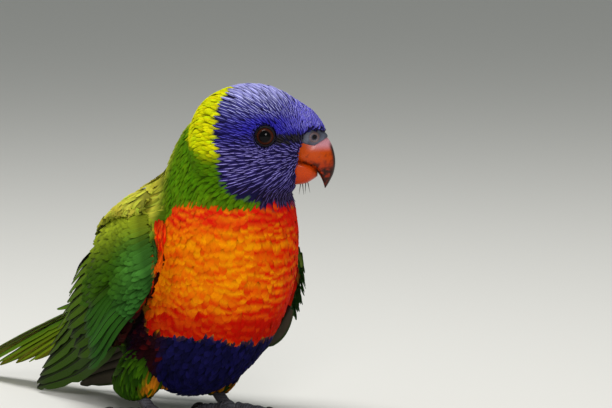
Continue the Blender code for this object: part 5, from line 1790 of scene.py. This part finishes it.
def foot_form(side_name, side):
    """Tarsus, pad and toes grown into one skin, with its scales pressed in."""
    origin = foot_middle(side_name)
    forms = []
    middle = origin + UP * PAD_SIZE[2] * 0.8
    rings = []
    for turn in np.linspace(-math.pi / 2, math.pi / 2, 20):
        size = max(math.cos(turn), 0.1)
        spot = middle + np.array((0, PAD_SIZE[1] * math.sin(turn), 0))
        wide, tall = PAD_SIZE[0] * size, PAD_SIZE[2] * size
        ring = oval_ring(spot, OUTWARD, UP, wide, tall, tall, FOOT_SIDES)
        ring[:, 2] = np.maximum(ring[:, 2], SOLE)
        rings.append(ring)
    forms.append(loft(rings))
    start, end = origin + SHANK_TOP, origin + SHANK_FOOT
    along = unit(end - start)
    rise = np.cross(OUTWARD, along)
    rings = [
        oval_ring(start + (end - start) * t, OUTWARD, rise, SHANK, SHANK, SHANK, FOOT_SIDES)
        for t in np.linspace(0, 1, 12)
    ]
    forms.append(loft(rings))
    for name, heading, length, radius, outside in TOES:
        root = origin + (side * outside, 0, 0)
        forms.append(loft(toe_rings(root, side, heading, length, radius)))
    made = linked("foot_skin_" + side_name, joined("foot_form", forms))
    eased, points, outs = grown_together(made, FOOT_GRAIN, 2)

    best = np.full(len(points), 1e9)
    run = np.zeros(len(points))
    for name, heading, length, radius, outside in TOES:
        root = origin + (side * outside, 0, radius * 0.7)
        way = toe_way(side, heading)
        offset = points - root
        reach = np.clip(offset @ way, 0, length)
        gap = np.linalg.norm(offset - reach[:, None] * way, axis=1)
        nearer = gap < best
        best = np.where(nearer, gap, best)
        run = np.where(nearer, reach, run)
    on_leg = soft(points[:, 2], 4.6, 5.6)
    run = run * (1 - on_leg) + (points[:, 2] * 1.3) * on_leg
    plate = (run / PLATE) % 1.0
    groove = np.minimum(plate, 1 - plate)
    top = soft(outs[:, 2], -0.1, 0.35)
    dent = (1 - soft(groove, 0.0, 0.16)) * top
    rough = ripple(points, 0.9, 3.0) * (1 - top)
    points = points + outs * (0.10 * plate * top - 0.16 * dent + 0.06 * rough)[:, None]
    points[:, 2] = np.maximum(points[:, 2], 0.05)
    eased.vertices.foreach_set("co", (points * MM + STANDING).ravel())
    tint = blend("#3C3C44", "#5A5A62", plate * top)
    tint = layered(tint, ("#17161A", dent), ("#4A423E", 0.5 * (1 - top)))
    grained(made, points - origin, tint)
    return made


scaly_skin = bare_skin("leg and foot, grey scaly skin", 0.45, 0.08, 0.55)
claw_horn = horn("claw horn, blackish", 0.3, 2.4, 0.25)
for side_name, side in SIDES:
    foot = foot_form(side_name, side)
    foot.data.materials.append(scaly_skin)
    toes = [name + "_" + side_name for name, heading, length, radius, outside in TOES]
    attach(foot, "root")
    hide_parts("foot_" + side_name, "tarsus_" + side_name, *["toe_" + toe for toe in toes])

    origin = foot_middle(side_name)
    for name, heading, length, radius, outside in TOES:
        along = toe_way(side, heading)
        across = np.cross(along, UP)
        root = origin + (side * outside, 0, 0)
        rings = []
        for t in np.linspace(0, 1, CLAW_RINGS):
            turn = CLAW_SWEEP * t - CLAW_RISE
            reach = CLAW_CURVE * (math.sin(turn) + math.sin(CLAW_RISE))
            drop = CLAW_CURVE * (math.cos(turn) - math.cos(CLAW_RISE))
            size = CLAW_ROOT * (1 - t) ** 0.8 + CLAW_TIP
            middle = root + along * (length - 0.9 + reach) + UP * (radius * 0.74 + 0.5 + drop)
            middle[2] = max(middle[2], size + 0.05)
            rise = unit(np.cross(across, along * math.cos(turn) - UP * math.sin(turn)))
            rings.append(oval_ring(middle, across, rise, size * 0.8, size, size, CLAW_SIDES))
        points, faces = loft(rings)
        share = np.append(np.repeat(np.linspace(0, 1, CLAW_RINGS), CLAW_SIDES), (0, 1))
        tint = blend("#2A2626", "#0C0B0B", soft(share, 0.1, 0.7))
        claw = shaped(f"claw_{name}_horn_{side_name}", points, faces, claw_horn)
        grained(claw, np.stack([*(points - root).T[:2], share * 8], 1), tint)
        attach(claw, "root")
        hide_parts(f"claw_{name}_{side_name}")


# Bristles: a few stiff hairs under the chin, blackish and of the same horn as the claws,
# rooted among the hood's feathers.

BRISTLES = (
    # place ahead and over the head's centre, and how far forward it leans
    (15.4, -20.2, -8), (16.2, -20.3, 6), (18.2, -19.6, 12), (17.4, -19.9, -3),
)
BRISTLE_LENGTH = 4.2
BRISTLE_TIP = 0.03  # half a bristle's thickness at its tip
hairs = []
for ahead, up, turn in BRISTLES:
    start = head_place(ahead, 0.6, up)
    way = AHEAD * math.sin(math.radians(turn)) - UP * math.cos(math.radians(turn))
    rings = []
    for t in np.linspace(0, 1, 6):
        size = 0.17 * (1 - t) + BRISTLE_TIP
        middle = start + way * BRISTLE_LENGTH * t
        rings.append(oval_ring(middle, LEFTWARD, AHEAD, size, size, size, 8))
    hairs.append(loft(rings))
all_points = np.concatenate([points for points, faces in hairs])
all_faces = [
    [corner + number * len(points) for corner in face]
    for number, (points, faces) in enumerate(hairs)
    for face in faces
]
bristles = shaped("chin_bristles", all_points, all_faces, claw_horn)
grained(bristles, all_points - GAPE, np.broadcast_to(linear("#120F14"), all_points.shape))
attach(bristles, "root")


# The stage: a plain pale floor of matt board, soft studio light from two large round boxes,
# and a long lens at the photograph's angle.


def aimed(name, data, place, way):
    """A camera or lamp at a place, looking along a way."""
    made = linked(name, data)
    made.location = place
    made.rotation_mode = "QUATERNION"
    made.rotation_quaternion = Vector(way).to_track_quat("-Z", "Y")
    return made


AZIMUTH = math.radians(37)  # how far round from the front, to the bird's right
ELEVATION = math.radians(5)
SCALE = 2.5  # pixels of the photograph to a millimetre at the bird
FOOT_SPOT = (189, 415)  # pixel of the photograph where the feet's middle stands
IMAGE = (612, 408)
LENS = 250.0  # focal length
SENSOR = 36.0  # width of the picture behind the lens

level = math.cos(ELEVATION)
looking = np.array((math.sin(AZIMUTH) * level, math.cos(AZIMUTH) * level, -math.sin(ELEVATION)))
rightward = np.array((math.cos(AZIMUTH), -math.sin(AZIMUTH), 0.0))
upward = np.cross(rightward, looking)
to_right, to_top = IMAGE[0] / 2 - FOOT_SPOT[0], FOOT_SPOT[1] - IMAGE[1] / 2
middle = rightward * to_right / SCALE + upward * to_top / SCALE
distance = IMAGE[0] / SCALE / SENSOR * LENS
eye_point = (middle - looking * distance) * MM + STANDING
lens = bpy.data.cameras.new("camera")
lens.lens = LENS
lens.sensor_width = SENSOR
lens.clip_start = 0.1
lens.clip_end = 100
bpy.context.scene.camera = aimed("camera", lens, eye_point, looking)


BREAST_SPOT = Vector((0, -0.03, 0.06))
FLOOR_RADIUS = 8.0


def lamp(name, place, size, power, colour):
    """A large soft box that points at the bird's breast."""
    light = bpy.data.lights.new(name, "AREA")
    light.shape = "DISK"
    light.size = size
    light.energy = power
    light.color = colour
    aimed(name, light, place, BREAST_SPOT - Vector(place))


lamp("sky box", (-0.35, 0.15, 1.5), 1.0, 21, (1.0, 0.98, 0.95))
lamp("front box", (-0.9, -1.5, 0.75), 0.6, 15, (1.0, 0.97, 0.93))
world = bpy.data.worlds.new("studio")
world.use_nodes = True
world.node_tree.nodes["Background"].inputs["Color"].default_value = (0.80, 0.83, 0.80, 1)
world.node_tree.nodes["Background"].inputs["Strength"].default_value = 0.36
bpy.context.scene.world = world
bpy.context.scene.view_settings.view_transform = "Standard"

floor_mesh = bpy.data.meshes.new("floor")
round_floor = bmesh.new()
bmesh.ops.create_circle(round_floor, cap_ends=True, radius=FLOOR_RADIUS, segments=96)
round_floor.to_mesh(floor_mesh)
round_floor.free()
floor = linked("floor", floor_mesh)
# Matt board: pale and even, without a shine
floor_finish, _, floor_shader = finish("pale studio floor", Roughness=0.8)
floor_shader.inputs["Base Color"].default_value = (0.72, 0.72, 0.70, 1)
floor_mesh.materials.append(floor_finish)
